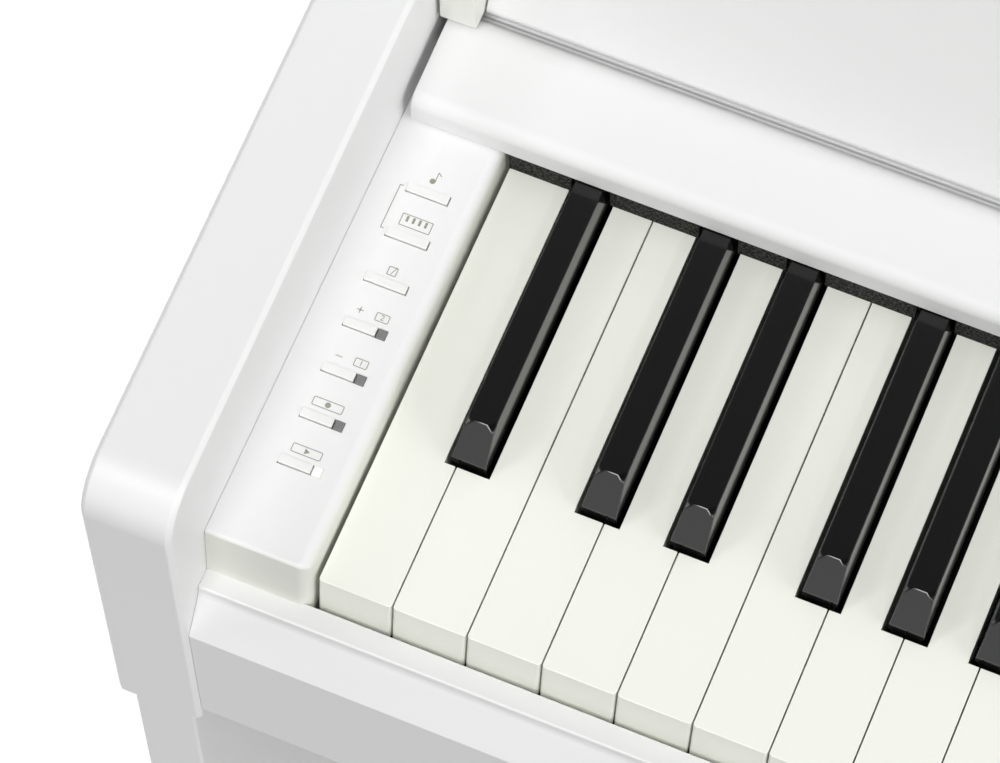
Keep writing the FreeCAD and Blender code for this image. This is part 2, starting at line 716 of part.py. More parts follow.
# --- key frame: one moulded channel with the front rail and the ridge that the keys rock on --------
frame = new_body("key_frame")
PILLAR_FRONT = f"({FULCRUM} - dim.fulcrum_slot / 2)"
PILLAR_BACK = f"({FULCRUM} + dim.fulcrum_slot / 2)"
FRAME_INNER = "(dim.frame_front + dim.frame_wall)"
pad(frame, "YZ_Plane", [
    ("dim.frame_front", BED_TOP),
    (FRAME_INNER, BED_TOP),
    (FRAME_INNER, "-dim.frame_floor - dim.frame_wall"),
    (PILLAR_FRONT, "-dim.frame_floor - dim.frame_wall"),
    (PILLAR_FRONT, BED_TOP),
    (PILLAR_BACK, BED_TOP),
    (PILLAR_BACK, "-dim.white_depth - dim.pillar_neck"),
    (FULCRUM, "-dim.fulcrum_down"),
    (PILLAR_FRONT, "-dim.white_depth - dim.pillar_neck"),
    (PILLAR_FRONT, "-dim.frame_floor"),
    (FRAME_INNER, "-dim.frame_floor"),
    (FRAME_INNER, "-dim.rail_top - dim.frame_wall"),
    ("dim.frame_front + dim.rail_deep", "-dim.rail_top - dim.frame_wall"),
    ("dim.frame_front + dim.rail_deep", "-dim.rail_top"),
    ("dim.frame_front", "-dim.rail_top"),
], f"2 * {HALF_KEYS}", f"-{HALF_KEYS}")
on_keys(frame)

rest_felt = doc.addObject("Part::Box", "key_rest_felt")
rest_felt.setExpression("Length", f"2 * {HALF_KEYS}")
rest_felt.setExpression("Width", "dim.rail_deep - 2 * dim.rest_felt_inset")
rest_felt.setExpression("Height", "dim.rest_felt")
on_keys(rest_felt, f"-{HALF_KEYS}", "dim.frame_front + dim.rest_felt_inset", "-dim.rail_top")

# --- end blocks: moulded shells, open below, that stand on the bottom board ------------------------
ROOF_UNDER = "(dim.block_top - dim.block_wall)"
BOARD_TOP = f"({ROOF_UNDER} - dim.button_flange_thick - dim.button_stem)"
FLANGE_UNDER = f"({ROOF_UNDER} - dim.button_clear - dim.button_flange_thick)"
STEM_LENGTH = f"({FLANGE_UNDER} - {BOARD_TOP} - dim.switch_rise - dim.button_travel - dim.button_clear)"


def control_block(side):
    block = new_body(f"control_block_{side_name(side)}")
    low_x, high_x = ends(side, "dim.block_in", "dim.block_out")
    pad(block, "YZ_Plane", [
        ("-dim.block_front_foot", "-dim.slip_top"),
        (BED_FRONT, "-dim.slip_top"),
        (BED_FRONT, BED_TOP),
        ("dim.block_back", BED_TOP),
        ("dim.block_back", "dim.block_top"),
        ("-dim.block_front_top", "dim.block_top", "dim.block_round"),
    ], "dim.block_out - dim.block_in", low_x)
    keys_side = worth(f"{side} * ({HALF_KEYS} + dim.block_in)")
    round_edges(block, "dim.block_corner", lambda edge: edge.BoundBox.ZLength > NEAR
                and edge.BoundBox.XLength < NEAR and abs(edge.BoundBox.XMin - keys_side) < NEAR
                and edge.BoundBox.YMax < NEAR
                and edge.BoundBox.ZMin > -worth("dim.slip_top") - NEAR)
    pocket(block, "XY_Plane", rectangle(f"{low_x} + dim.block_wall", f"{BED_FRONT} + dim.block_wall",
                                        f"{high_x} - dim.block_wall",
                                        "dim.block_back - dim.block_wall"),
           f"{ROOF_UNDER} - {BED_TOP}", BED_TOP, reverse=True)
    middle_x = f"({low_x} + {high_x}) / 2"
    for post_y in ("dim.post_front", "dim.post_back"):
        pad(block, "XY_Plane", square(middle_x, post_y, "dim.post_half"),
            f"{ROOF_UNDER} - {BOARD_TOP}", BOARD_TOP)
    return block, low_x, high_x


BUTTON_NAMES = ("play", "record", "minus", "plus", "metronome", "voice", "song")
left_block, _, _ = control_block(-1)
BUTTON_LEFT = f"(-{HALF_KEYS} - dim.button_left)"
BUTTON_RIGHT = f"({BUTTON_LEFT} + dim.button_width)"
LAMP_LEFT = f"({BUTTON_RIGHT} - dim.lamp_width)"
STEM_X = f"({BUTTON_LEFT} + dim.button_width / 2)"
lamps = []
for place_number, button_name in enumerate(BUTTON_NAMES):
    front = f"(dim.button_first + {place_number} * dim.button_pitch)"
    rear = f"({front} + dim.button_depth)"
    pocket(left_block, "XY_Plane", rectangle(BUTTON_LEFT, front, BUTTON_RIGHT, rear),
           "dim.block_wall + dim.cut_over", "dim.block_top + dim.cut_over")
    has_lamp = place_number < worth("dim.lamp_count")
    cap_right = LAMP_LEFT if has_lamp else BUTTON_RIGHT
    button = new_body(f"button_{button_name}")
    pad(button, "XY_Plane", rectangle(f"{BUTTON_LEFT} + dim.button_clear", f"{front} + dim.button_clear",
                                      f"{cap_right} - dim.button_clear", f"{rear} - dim.button_clear"),
        "dim.button_proud + dim.block_wall + dim.button_clear",
        f"{ROOF_UNDER} - dim.button_clear")
    flange_right = (f"{cap_right} - dim.button_clear" if has_lamp
                    else f"{cap_right} + dim.button_flange")
    pad(button, "XY_Plane", rectangle(f"{BUTTON_LEFT} - dim.button_flange",
                                      f"{front} - dim.button_flange", flange_right,
                                      f"{rear} + dim.button_flange"),
        "dim.button_flange_thick", f"{ROOF_UNDER} - dim.button_clear", reverse=True)
    pad(button, "XY_Plane", square(STEM_X, f"(({front} + {rear}) / 2)", "dim.stem_half"),
        STEM_LENGTH, FLANGE_UNDER, reverse=True)
    on_keys(button)
    if has_lamp:
        lamp = new_body(f"lamp_{button_name}")
        pad(lamp, "XY_Plane", rectangle(f"{LAMP_LEFT} + dim.button_clear / 2",
                                        f"{front} + dim.button_clear",
                                        f"{BUTTON_RIGHT} - dim.button_clear",
                                        f"{rear} - dim.button_clear"),
            f"dim.block_top + dim.button_proud - {BOARD_TOP}", BOARD_TOP)
        lamps.append(on_keys(lamp))
on_keys(left_block)
button_lamps = doc.addObject("Part::Compound", "button_lamps")
button_lamps.Links = lamps

right_block, right_low, right_high = control_block(1)
RIGHT_MIDDLE = f"(({right_low} + {right_high}) / 2)"
POWER_LEFT = f"({RIGHT_MIDDLE} - dim.power_width / 2)"
POWER_RIGHT = f"({RIGHT_MIDDLE} + dim.power_width / 2)"
POWER_BACK = "(dim.power_place + dim.power_depth)"
pocket(right_block, "XY_Plane", rectangle(POWER_LEFT, "dim.power_place", POWER_RIGHT, POWER_BACK),
       "dim.block_wall + dim.cut_over", "dim.block_top + dim.cut_over")
SLOT_LEFT = f"({RIGHT_MIDDLE} - dim.volume_slot_width / 2)"
SLOT_RIGHT = f"({RIGHT_MIDDLE} + dim.volume_slot_width / 2)"
SLOT_BACK = "(dim.volume_place + dim.volume_slot_length)"
pocket(right_block, "XY_Plane", rectangle(SLOT_LEFT, "dim.volume_place", SLOT_RIGHT, SLOT_BACK),
       "dim.block_wall + dim.cut_over", "dim.block_top + dim.cut_over")
on_keys(right_block)

power = new_body("power_button")
pad(power, "XY_Plane", rectangle(f"{POWER_LEFT} + dim.button_clear",
                                 "dim.power_place + dim.button_clear",
                                 f"{POWER_RIGHT} - dim.button_clear", f"{POWER_BACK} - dim.button_clear"),
    "dim.power_proud + dim.block_wall + dim.button_clear", f"{ROOF_UNDER} - dim.button_clear")
pad(power, "XY_Plane", rectangle(f"{POWER_LEFT} - dim.button_flange",
                                 "dim.power_place - dim.button_flange",
                                 f"{POWER_RIGHT} + dim.button_flange",
                                 f"{POWER_BACK} + dim.button_flange"),
    "dim.button_flange_thick", f"{ROOF_UNDER} - dim.button_clear", reverse=True)
pad(power, "XY_Plane", square(RIGHT_MIDDLE, f"((dim.power_place + {POWER_BACK}) / 2)",
                              "dim.stem_half"), STEM_LENGTH, FLANGE_UNDER, reverse=True)
on_keys(power)

volume = new_body("volume_slider")
VOLUME_MIDDLE = f"((dim.volume_place + {SLOT_BACK}) / 2)"
CAP_UNDER = "(dim.block_top + dim.fit_gap)"
CAP_TOP = "(dim.block_top + dim.volume_cap_rise)"
CAP_HALF = "(dim.volume_cap_depth / 2)"
pad(volume, "YZ_Plane", [
    (f"{VOLUME_MIDDLE} - {CAP_HALF}", CAP_UNDER),
    (f"{VOLUME_MIDDLE} + {CAP_HALF}", CAP_UNDER),
    (f"{VOLUME_MIDDLE} + {CAP_HALF} - dim.volume_cap_taper", CAP_TOP),
    (VOLUME_MIDDLE, f"{CAP_TOP} - dim.volume_cap_dish"),
    (f"{VOLUME_MIDDLE} - {CAP_HALF} + dim.volume_cap_taper", CAP_TOP),
], "dim.volume_cap_width", f"{RIGHT_MIDDLE} - dim.volume_cap_width / 2")
SLIDE_TOP = f"({BOARD_TOP} + dim.slide_body)"
pad(volume, "XY_Plane", rectangle(f"{SLOT_LEFT} + dim.fit_gap",
                                  f"{VOLUME_MIDDLE} - dim.volume_stem_half",
                                  f"{SLOT_RIGHT} - dim.fit_gap",
                                  f"{VOLUME_MIDDLE} + dim.volume_stem_half"),
    f"{CAP_TOP} - dim.volume_cap_dish - dim.fit_gap - {SLIDE_TOP} - dim.cut_over",
    f"{SLIDE_TOP} + dim.fit_gap")
on_keys(volume)

# circuit boards under the two block roofs, with their switches and the slide control
boards = []
for side in (-1, 1):
    board = new_body(f"panel_board_{side_name(side)}")
    inset = "(dim.block_wall + dim.switch_board_inset)"
    low_x, high_x = ends(side, f"dim.block_in + {inset}", f"dim.block_out - {inset}")
    pad(board, "XY_Plane", rectangle(low_x, "dim.switch_board_front", high_x,
                                     "dim.switch_board_back"),
        "dim.switch_board_thick", f"{BOARD_TOP} - dim.switch_board_thick")
    if side < 0:
        for place_number in range(len(BUTTON_NAMES)):
            middle_y = f"(dim.button_first + {place_number} * dim.button_pitch + dim.button_depth / 2)"
            pad(board, "XY_Plane", square(STEM_X, middle_y, "dim.switch_half"), "dim.switch_rise",
                BOARD_TOP)
    else:
        middle_y = f"((dim.power_place + {POWER_BACK}) / 2)"
        pad(board, "XY_Plane", square(RIGHT_MIDDLE, middle_y, "dim.switch_half"), "dim.switch_rise",
            BOARD_TOP)
        pad(board, "XY_Plane", rectangle(f"{RIGHT_MIDDLE} - dim.slide_half",
                                         "dim.volume_place - dim.slide_half",
                                         f"{RIGHT_MIDDLE} + dim.slide_half",
                                         f"{SLOT_BACK} + dim.slide_half"),
            "dim.slide_body", BOARD_TOP)
    boards.append(on_keys(board))
panel_boards = doc.addObject("Part::Compound", "panel_boards")
panel_boards.Links = boards

# --- lid: one long board on two end pins; it leans back when open and lies on the arms when shut ---
# Drawn flat: local y runs from the lid's lower edge to its far edge, local z out of its inner face.
LID_TILT = "90 - dim.lid_lean"
LID_HALF = f"({ARM_INNER} - dim.lid_end_gap)"
WHOLE_LID = f"(2 * ({LID_HALF} + dim.cut_over))"
LID_TAIL = f"({HALF_KEYS} + dim.cover_in - dim.cover_gap)"
FLAP_PIN = "(dim.lid_length - dim.flap_pin_back)"
FLAP_PIN_OUT = "(dim.flap_gap / 2)"
GROOVE_HALF = "(dim.flap_pin_radius + dim.groove_room)"


def on_lid(piece, x="0"):
    return on_keys(piece, x, "dim.lid_edge_back", "dim.lid_edge_up", LID_TILT)


lid = new_body("lid_panel")
pad(lid, "XY_Plane", [
    (f"-{LID_TAIL}", "0"),
    (LID_TAIL, "0"),
    (LID_TAIL, "dim.notch_long"),
    (LID_HALF, "dim.notch_long"),
    (LID_HALF, "dim.lid_length"),
    (f"-{LID_HALF}", "dim.lid_length"),
    (f"-{LID_HALF}", "dim.notch_long"),
    (f"-{LID_TAIL}", "dim.notch_long"),
], "dim.lid_thick", reverse=True)
round_edges(lid, "dim.lid_round", lambda edge: edge.BoundBox.XLength > worth(LID_TAIL)
            and (at(edge.BoundBox.YMax, "0") or at(edge.BoundBox.YMin, "dim.lid_length")))
pocket(lid, "YZ_Plane", rectangle(f"{FLAP_PIN} - {GROOVE_HALF}", f"-{GROOVE_HALF}",
                                  f"{FLAP_PIN} + {GROOVE_HALF}", "dim.cut_over"),
       WHOLE_LID, f"{LID_HALF} + dim.cut_over")
for side in (-1, 1):
    pocket(lid, "YZ_Plane", ("dim.pivot_up", "-dim.pivot_in", "dim.pin_radius + dim.pin_clear"),
           "dim.pin_in_lid + dim.cut_over", f"{side} * {LID_TAIL}", reverse=side < 0)
on_lid(lid)

# hinge covers stand on the fallboard's ends and hold the lid's pins beside the arms
covers, pins = [], []
for side in (-1, 1):
    cover = new_body(f"hinge_cover_{side_name(side)}")
    low_x, high_x = ends(side, "dim.cover_in", "dim.cover_out")
    pad(cover, "YZ_Plane", [
        ("dim.cover_front", "dim.cover_foot", "dim.cover_foot_round"),
        ("dim.cover_back", "dim.cover_foot", "dim.cover_round"),
        ("dim.cover_back", "dim.cover_top", "dim.cover_round"),
        ("dim.cover_front", "dim.cover_top", "dim.cover_round"),
    ], "dim.cover_out - dim.cover_in", low_x)
    pocket(cover, "YZ_Plane", (LID_PIN_Y, LID_PIN_Z, "dim.pin_radius"),
           "dim.cover_out - dim.cover_in + 2 * dim.cut_over", f"{high_x} + dim.cut_over")
    covers.append(on_keys(cover))
    pin = doc.addObject("Part::Cylinder", f"hinge_pin_{side_name(side)}")
    pin.setExpression("Radius", "dim.pin_radius")
    outer, inner = f"({ARM_INNER} + dim.pin_in_arm)", f"({LID_TAIL} - dim.pin_in_lid)"
    pin.setExpression("Height", f"{outer} - {inner}")
    pin.Placement = FreeCAD.Placement(FreeCAD.Vector(), FreeCAD.Rotation(FreeCAD.Vector(0, 1, 0), 90))
    pins.append(on_keys(pin, inner if side > 0 else f"-{outer}", LID_PIN_Y, LID_PIN_Z))
lid_hinge_covers = doc.addObject("Part::Compound", "lid_hinge_covers")
lid_hinge_covers.Links = covers
lid_hinge_pins = doc.addObject("Part::Compound", "lid_hinge_pins")
lid_hinge_pins.Links = pins

# front flap: folded flat on the lid's inner face, hinged near the lid's far edge by a long hinge
flap = new_body("lid_flap")
FLAP_TOP = f"({FLAP_PIN} - dim.flap_set_back)"
pad(flap, "XY_Plane", rectangle(f"-{LID_HALF}", f"{FLAP_TOP} - dim.flap_length", LID_HALF, FLAP_TOP),
    "dim.flap_thick", "dim.flap_gap")
pocket(flap, "XY_Plane", rectangle(f"-{LID_HALF} - dim.cut_over", f"{FLAP_TOP} - dim.leaf_long",
                                   f"{LID_HALF} + dim.cut_over", f"{FLAP_TOP} + dim.cut_over"),
       "dim.leaf_thick", "dim.flap_gap", reverse=True)
pocket(flap, "YZ_Plane", (FLAP_PIN, FLAP_PIN_OUT, f"{GROOVE_HALF} + dim.groove_clear"), WHOLE_LID,
       f"{LID_HALF} + dim.cut_over")
on_lid(flap)

KNUCKLE_COUNT = 3
KNUCKLE_PITCH = f"({LID_HALF} / {KNUCKLE_COUNT})"
KNUCKLE_LENGTH = f"({KNUCKLE_PITCH} - 2 * dim.knuckle_gap)"
KNUCKLE_RADIUS = "(dim.flap_pin_radius + dim.leaf_thick)"
HINGE_HALF = f"({LID_HALF} - dim.hinge_inset)"
hinge_rod = new_body("flap_hinge_rod")
pad(hinge_rod, "YZ_Plane", (FLAP_PIN, FLAP_PIN_OUT, "dim.flap_pin_radius"), f"2 * {HINGE_HALF}",
    f"-{HINGE_HALF}")
hinge_leaf = new_body("flap_hinge_leaf")
pad(hinge_leaf, "XY_Plane", rectangle(f"-{HINGE_HALF}",
                                      f"{FLAP_TOP} - dim.leaf_long + dim.groove_clear", HINGE_HALF,
                                      f"{FLAP_PIN} - dim.flap_pin_radius - dim.leaf_thick / 2"),
    "dim.leaf_thick", "dim.flap_gap")
for number in range(KNUCKLE_COUNT):
    on_lid_side = f"(-{LID_HALF} + {2 * number} * {KNUCKLE_PITCH} + dim.knuckle_gap)"
    on_flap_side = f"({on_lid_side} + {KNUCKLE_PITCH})"
    pad(hinge_rod, "YZ_Plane", rectangle(f"{FLAP_PIN} - dim.flap_pin_radius", f"-{GROOVE_HALF}",
                                         f"{FLAP_PIN} + dim.flap_pin_radius", FLAP_PIN_OUT),
        KNUCKLE_LENGTH, on_lid_side)
    pad(hinge_leaf, "YZ_Plane", (FLAP_PIN, FLAP_PIN_OUT, KNUCKLE_RADIUS), KNUCKLE_LENGTH,
        on_flap_side)
pocket(hinge_leaf, "YZ_Plane", (FLAP_PIN, FLAP_PIN_OUT, "dim.flap_pin_radius + dim.pin_clear"),
       WHOLE_LID, f"{LID_HALF} + dim.cut_over")
on_lid(hinge_rod)
on_lid(hinge_leaf)

# --- speakers over their openings in the bottom board, with slotted covers below --------------------
drivers, grilles = [], []
RIM_RADIUS = "(dim.speaker_radius + dim.speaker_rim)"
OPEN_RADIUS = "(dim.speaker_radius - dim.grille_margin)"
SLOTS_EACH_WAY = 2
for side in (-1, 1):
    driver = new_body(f"speaker_{side_name(side)}")
    turned(driver, [
        ("0", "0"),
        (RIM_RADIUS, "0"),
        (RIM_RADIUS, "dim.speaker_rim"),
        ("dim.magnet_radius", "dim.speaker_deep - dim.magnet_thick"),
        ("dim.magnet_radius", "dim.speaker_deep"),
        ("0", "dim.speaker_deep"),
    ])
    drivers.append(on_keys(driver, f"{side} * dim.speaker_place", "dim.speaker_back", BED_TOP))
    grille = new_body(f"speaker_grille_{side_name(side)}")
    pad(grille, "XY_Plane", ("0", "0", "dim.speaker_radius + dim.grille_rim"), "dim.grille_thick",
        reverse=True)
    for slot in range(-SLOTS_EACH_WAY, SLOTS_EACH_WAY + 1):
        middle_y = f"({slot} * dim.grille_pitch)"
        half_long = f"sqrt({OPEN_RADIUS} ^ 2 - {middle_y} ^ 2)"
        pocket(grille, "XY_Plane", rectangle(f"-{half_long}", f"{middle_y} - dim.grille_slot / 2",
                                             half_long, f"{middle_y} + dim.grille_slot / 2"),
               "dim.grille_thick + dim.cut_over")
    grilles.append(on_keys(grille, f"{side} * dim.speaker_place", "dim.speaker_back",
                           "(-dim.slip_foot)"))
speakers = doc.addObject("Part::Compound", "speakers")
speakers.Links = drivers
speaker_grilles = doc.addObject("Part::Compound", "speaker_grilles")
speaker_grilles.Links = grilles

# --- main circuit board on its posts, under the key frame's floor ------------------------------------
main_board = new_body("main_board")
MAIN_BACK = "(dim.main_board_front + dim.board_deep)"
pad(main_board, "XY_Plane", rectangle("-dim.board_long / 2", "dim.main_board_front",
                                      "dim.board_long / 2", MAIN_BACK),
    "dim.switch_board_thick", "dim.board_rise")
CHIPS = ((-70, 90, 28, 2.4), (10, 120, 20, 2), (60, 80, 36, 14))    # x, y, side and height
for chip_x, chip_y, chip_side, chip_high in CHIPS:
    pad(main_board, "XY_Plane", rectangle(chip_x, chip_y, chip_x + chip_side, chip_y + chip_side),
        chip_high, "dim.board_rise + dim.switch_board_thick")
for side in (-1, 1):
    post_x = f"({side} * (dim.board_long / 2 - dim.board_post_inset))"
    for post_y in ("(dim.main_board_front + dim.board_post_inset)",
                   f"({MAIN_BACK} - dim.board_post_inset)"):
        pad(main_board, "XY_Plane", square(post_x, post_y, "dim.board_post_half"), "dim.board_rise")
on_keys(main_board, "0", "0", BED_TOP)

# --- headphone box under the bed at the bass end; rear socket panel ----------------------------------
jack_box = new_body("headphone_box")
JACK_BOX_LEFT = f"(-{ARM_INNER} + dim.jack_box_inset)"
JACK_BOX_UNDER = "(-dim.slip_foot - dim.jack_box_high)"
pad(jack_box, "YZ_Plane", [
    ("dim.jack_box_front", "-dim.slip_foot"),
    ("dim.jack_box_front", JACK_BOX_UNDER, "dim.jack_box_nose"),
    ("dim.jack_box_front + dim.jack_box_deep", JACK_BOX_UNDER, "dim.jack_box_heel"),
    ("dim.jack_box_front + dim.jack_box_deep", "-dim.slip_foot"),
], "dim.jack_box_long", JACK_BOX_LEFT)
for side in (-1, 1):
    jack_x = f"({JACK_BOX_LEFT} + (dim.jack_box_long + {side} * dim.jack_pitch) / 2)"
    pocket(jack_box, "XZ_Plane", (jack_x, "-dim.slip_foot - dim.jack_box_high / 2",
                                  "dim.jack_radius"), "dim.jack_depth", "-dim.jack_box_front")
on_keys(jack_box)

sockets = new_body("socket_panel")
SOCKET_LEFT = f"({INLET_LEFT} + dim.fit_gap)"
SOCKET_FACE = f"(-{ARM_BACK} + dim.socket_recess)"
pad(sockets, "XZ_Plane", rectangle(SOCKET_LEFT, f"{WINDOW_LOW} + dim.fit_gap",
                                   f"{INLET_LEFT} + dim.inlet_long - dim.fit_gap",
                                   f"{WINDOW_LOW} + dim.inlet_high - dim.fit_gap"),
    "dim.socket_box_deep", SOCKET_FACE)
SOCKET_MIDDLE = f"({WINDOW_LOW} + dim.inlet_high / 2)"
for number, plug_radius in enumerate(("dim.pedal_plug_radius", "dim.supply_plug_radius")):
    plug_x = f"{SOCKET_LEFT} + dim.socket_first + {number} * dim.socket_pitch"
    pocket(sockets, "XZ_Plane", (plug_x, SOCKET_MIDDLE, plug_radius), "dim.socket_depth",
           SOCKET_FACE, reverse=True)
pocket(sockets, "XZ_Plane", rectangle(f"{SOCKET_LEFT} + dim.data_plug_place",
                                      f"{SOCKET_MIDDLE} - dim.data_plug_half",
                                      f"{SOCKET_LEFT} + dim.data_plug_place + dim.data_plug_long",
                                      f"{SOCKET_MIDDLE} + dim.data_plug_half"),
       "dim.socket_depth", SOCKET_FACE, reverse=True)
on_keys(sockets)

# --- stand: two side boards, a rear brace, the pedal box, bolts and glides ---------------------------
SIDE_INNER = f"({HALF_KEYS} + dim.side_in)"
SIDE_THICK = "(dim.side_out - dim.side_in)"
BRACE_TOP = "(dim.leg_height - dim.brace_down)"
BRACE_LOW = f"({BRACE_TOP} - dim.brace_high)"
BOX_TOP = "(dim.pedal_box_low + dim.pedal_box_high)"
BOX_FRONT_FACE = "(dim.pedal_box_back - dim.pedal_box_deep)"
BRACE_MIDDLE = "(dim.brace_back + dim.board_thick / 2)"
BOX_BOLT_Z = f"({BOX_TOP} - dim.box_bolt_down)"
BRACE_BOLTS = [(BRACE_MIDDLE, f"({BRACE_TOP} - dim.bolt_inset)"),
               (BRACE_MIDDLE, f"({BRACE_LOW} + dim.bolt_inset)")]
BOX_BOLTS = [("(dim.pedal_box_back - dim.pedal_box_wall / 2)", BOX_BOLT_Z),
             (f"({BOX_FRONT_FACE} + dim.pedal_box_wall / 2)", BOX_BOLT_Z)]
BOLT_SIDES = 6


def on_floor(piece, x="0", y="0", z="0"):
    """Put a stand piece drawn with y = 0 at the key fronts and z = 0 on the floor."""
    return place(piece, x, f"dim.key_front + {y}", z)


# bolts and their holes are drawn six-sided, head and shank alike
bolts = []
for side in (-1, 1):
    board = new_body(f"leg_board_{side_name(side)}")
    low_x, high_x = ends(side, "dim.side_in", "dim.side_out")
    pad(board, "YZ_Plane", [
        ("-dim.side_front", "dim.glide_thick", "dim.side_round"),
        ("dim.side_back", "dim.glide_thick", "dim.side_round"),
        ("dim.side_back", "dim.leg_height"),
        ("-dim.side_front", "dim.leg_height"),
    ], SIDE_THICK, low_x)
    for bolt_y, bolt_z in BRACE_BOLTS + BOX_BOLTS:
        shank = polygon(bolt_y, bolt_z, "dim.bolt_radius", BOLT_SIDES)
        pocket(board, "YZ_Plane", shank, f"{SIDE_THICK} + 2 * dim.cut_over",
               f"{high_x} + dim.cut_over")
        bolt = new_body(f"stand_bolt_{side_name(side)}_{len(bolts)}")
        outer = high_x if side > 0 else low_x
        pad(bolt, "YZ_Plane", polygon(bolt_y, bolt_z, "dim.bolt_head", BOLT_SIDES),
            "dim.bolt_head_thick", outer, reverse=side < 0)
        pad(bolt, "YZ_Plane", shank, f"{SIDE_THICK} + dim.bolt_length", outer, reverse=side > 0)
        bolts.append(on_floor(bolt))
    on_floor(board)
stand_bolts = doc.addObject("Part::Compound", "stand_bolts")
stand_bolts.Links = bolts

brace = new_body("stand_brace")
pad(brace, "XZ_Plane", rectangle(f"-{SIDE_INNER}", BRACE_LOW, SIDE_INNER, BRACE_TOP),
    "dim.board_thick", "-dim.brace_back - dim.board_thick")
pedal_box = new_body("pedal_box")
pad(pedal_box, "YZ_Plane", rectangle(BOX_FRONT_FACE, "dim.pedal_box_low", "dim.pedal_box_back",
                                     BOX_TOP), f"2 * {SIDE_INNER}", f"-{SIDE_INNER}")
pocket(pedal_box, "YZ_Plane", rectangle(f"{BOX_FRONT_FACE} + dim.pedal_box_wall",
                                        "dim.pedal_box_low - dim.cut_over",
                                        "dim.pedal_box_back - dim.pedal_box_wall",
                                        f"{BOX_TOP} - dim.pedal_box_wall"),
       f"2 * ({SIDE_INNER} + dim.cut_over)", f"{SIDE_INNER} + dim.cut_over")
for bolted, bolt_places in ((brace, BRACE_BOLTS), (pedal_box, BOX_BOLTS)):
    for side in (-1, 1):
        for bolt_y, bolt_z in bolt_places:
            pocket(bolted, "YZ_Plane", polygon(bolt_y, bolt_z, "dim.bolt_radius", BOLT_SIDES),
                   "dim.bolt_length + dim.cut_over", f"{side} * {SIDE_INNER}", reverse=side < 0)

# pedals: cast levers on one rod inside the box; the rod hangs in two cheeks of the box
PEDAL_AXLE_Y = "(dim.pedal_box_back - dim.pedal_box_wall - dim.axle_to_wall)"
AXLE_HALF = "(dim.pedal_pitch + dim.cheek_out)"
ROD_HALF = f"({AXLE_HALF} + dim.cheek_thick)"
for side in (-1, 1):
    pad(pedal_box, "YZ_Plane", rectangle(f"{PEDAL_AXLE_Y} - dim.cheek_half",
                                         "dim.pedal_rise - dim.cheek_half",
                                         "dim.pedal_box_back - dim.pedal_box_wall",
                                         f"{BOX_TOP} - dim.pedal_box_wall"),
        "dim.cheek_thick", f"{side} * {AXLE_HALF}", reverse=side < 0)
pocket(pedal_box, "YZ_Plane", (PEDAL_AXLE_Y, "dim.pedal_rise", "dim.pedal_rod_radius"),
       f"2 * {ROD_HALF}", ROD_HALF)
pedal_rod = doc.addObject("Part::Cylinder", "pedal_rod")
pedal_rod.setExpression("Radius", "dim.pedal_rod_radius")
pedal_rod.setExpression("Height", f"2 * {ROD_HALF}")
pedal_rod.Placement = FreeCAD.Placement(FreeCAD.Vector(), FreeCAD.Rotation(FreeCAD.Vector(0, 1, 0), 90))
on_floor(pedal_rod, f"-{ROD_HALF}", PEDAL_AXLE_Y, "dim.pedal_rise")

AXLE_TO_FRONT = f"({PEDAL_AXLE_Y} - {BOX_FRONT_FACE})"
NECK_HALF, BLADE_HALF = "(dim.pedal_neck / 2)", "(dim.pedal_width / 2)"
for number, pedal_name in enumerate(("soft", "sostenuto", "damper")):
    middle_x = f"({number - 1} * dim.pedal_pitch)"
    pocket(pedal_box, "XZ_Plane",
           rectangle(f"{middle_x} - {NECK_HALF} - dim.pedal_clear",
                     "dim.pedal_rise - dim.pedal_slot_down",
                     f"{middle_x} + {NECK_HALF} + dim.pedal_clear",
                     "dim.pedal_rise + dim.pedal_thick / 2 + dim.pedal_clear"),
           "dim.pedal_box_wall + 2 * dim.cut_over", f"-{BOX_FRONT_FACE} + dim.cut_over")
    pedal = new_body(f"pedal_{pedal_name}")
    neck_end = f"-{AXLE_TO_FRONT} - dim.pedal_neck_end"
    blade_start = f"-{AXLE_TO_FRONT} - dim.pedal_blade_start"
    toe = f"-{AXLE_TO_FRONT} - dim.pedal_reach"
    pad(pedal, "XY_Plane", [
        (f"-{NECK_HALF}", "0"),
        (f"-{NECK_HALF}", neck_end),
        (f"-{BLADE_HALF}", blade_start),
        (f"-{BLADE_HALF}", toe, "dim.pedal_toe"),
        (BLADE_HALF, toe, "dim.pedal_toe"),
        (BLADE_HALF, blade_start),
        (NECK_HALF, neck_end),
        (NECK_HALF, "0"),
    ], "dim.pedal_thick", "-dim.pedal_thick / 2")
    pad(pedal, "YZ_Plane", square("0", "0", "dim.pedal_lug"), "dim.pedal_neck", f"-{NECK_HALF}")
    pocket(pedal, "YZ_Plane", ("0", "0", "dim.pedal_rod_radius + dim.pin_clear"),
           "dim.pedal_neck + 2 * dim.cut_over", f"{NECK_HALF} + dim.cut_over")
    on_floor(pedal, middle_x, PEDAL_AXLE_Y, "dim.pedal_rise")
on_floor(brace)
on_floor(pedal_box)

# hand wheel that screws down to the floor and steadies the pedal box
WHEEL_SIDES = 12
adjuster = new_body("pedal_adjuster")
pad(adjuster, "XY_Plane", polygon("0", "0", "dim.adjuster_radius", WHEEL_SIDES), "dim.adjuster_high")
pad(adjuster, "XY_Plane", polygon("0", "0", "dim.adjuster_stem", WHEEL_SIDES), "dim.pedal_box_low")
on_floor(adjuster, "0", f"{BOX_FRONT_FACE} + dim.pedal_box_wall / 2")

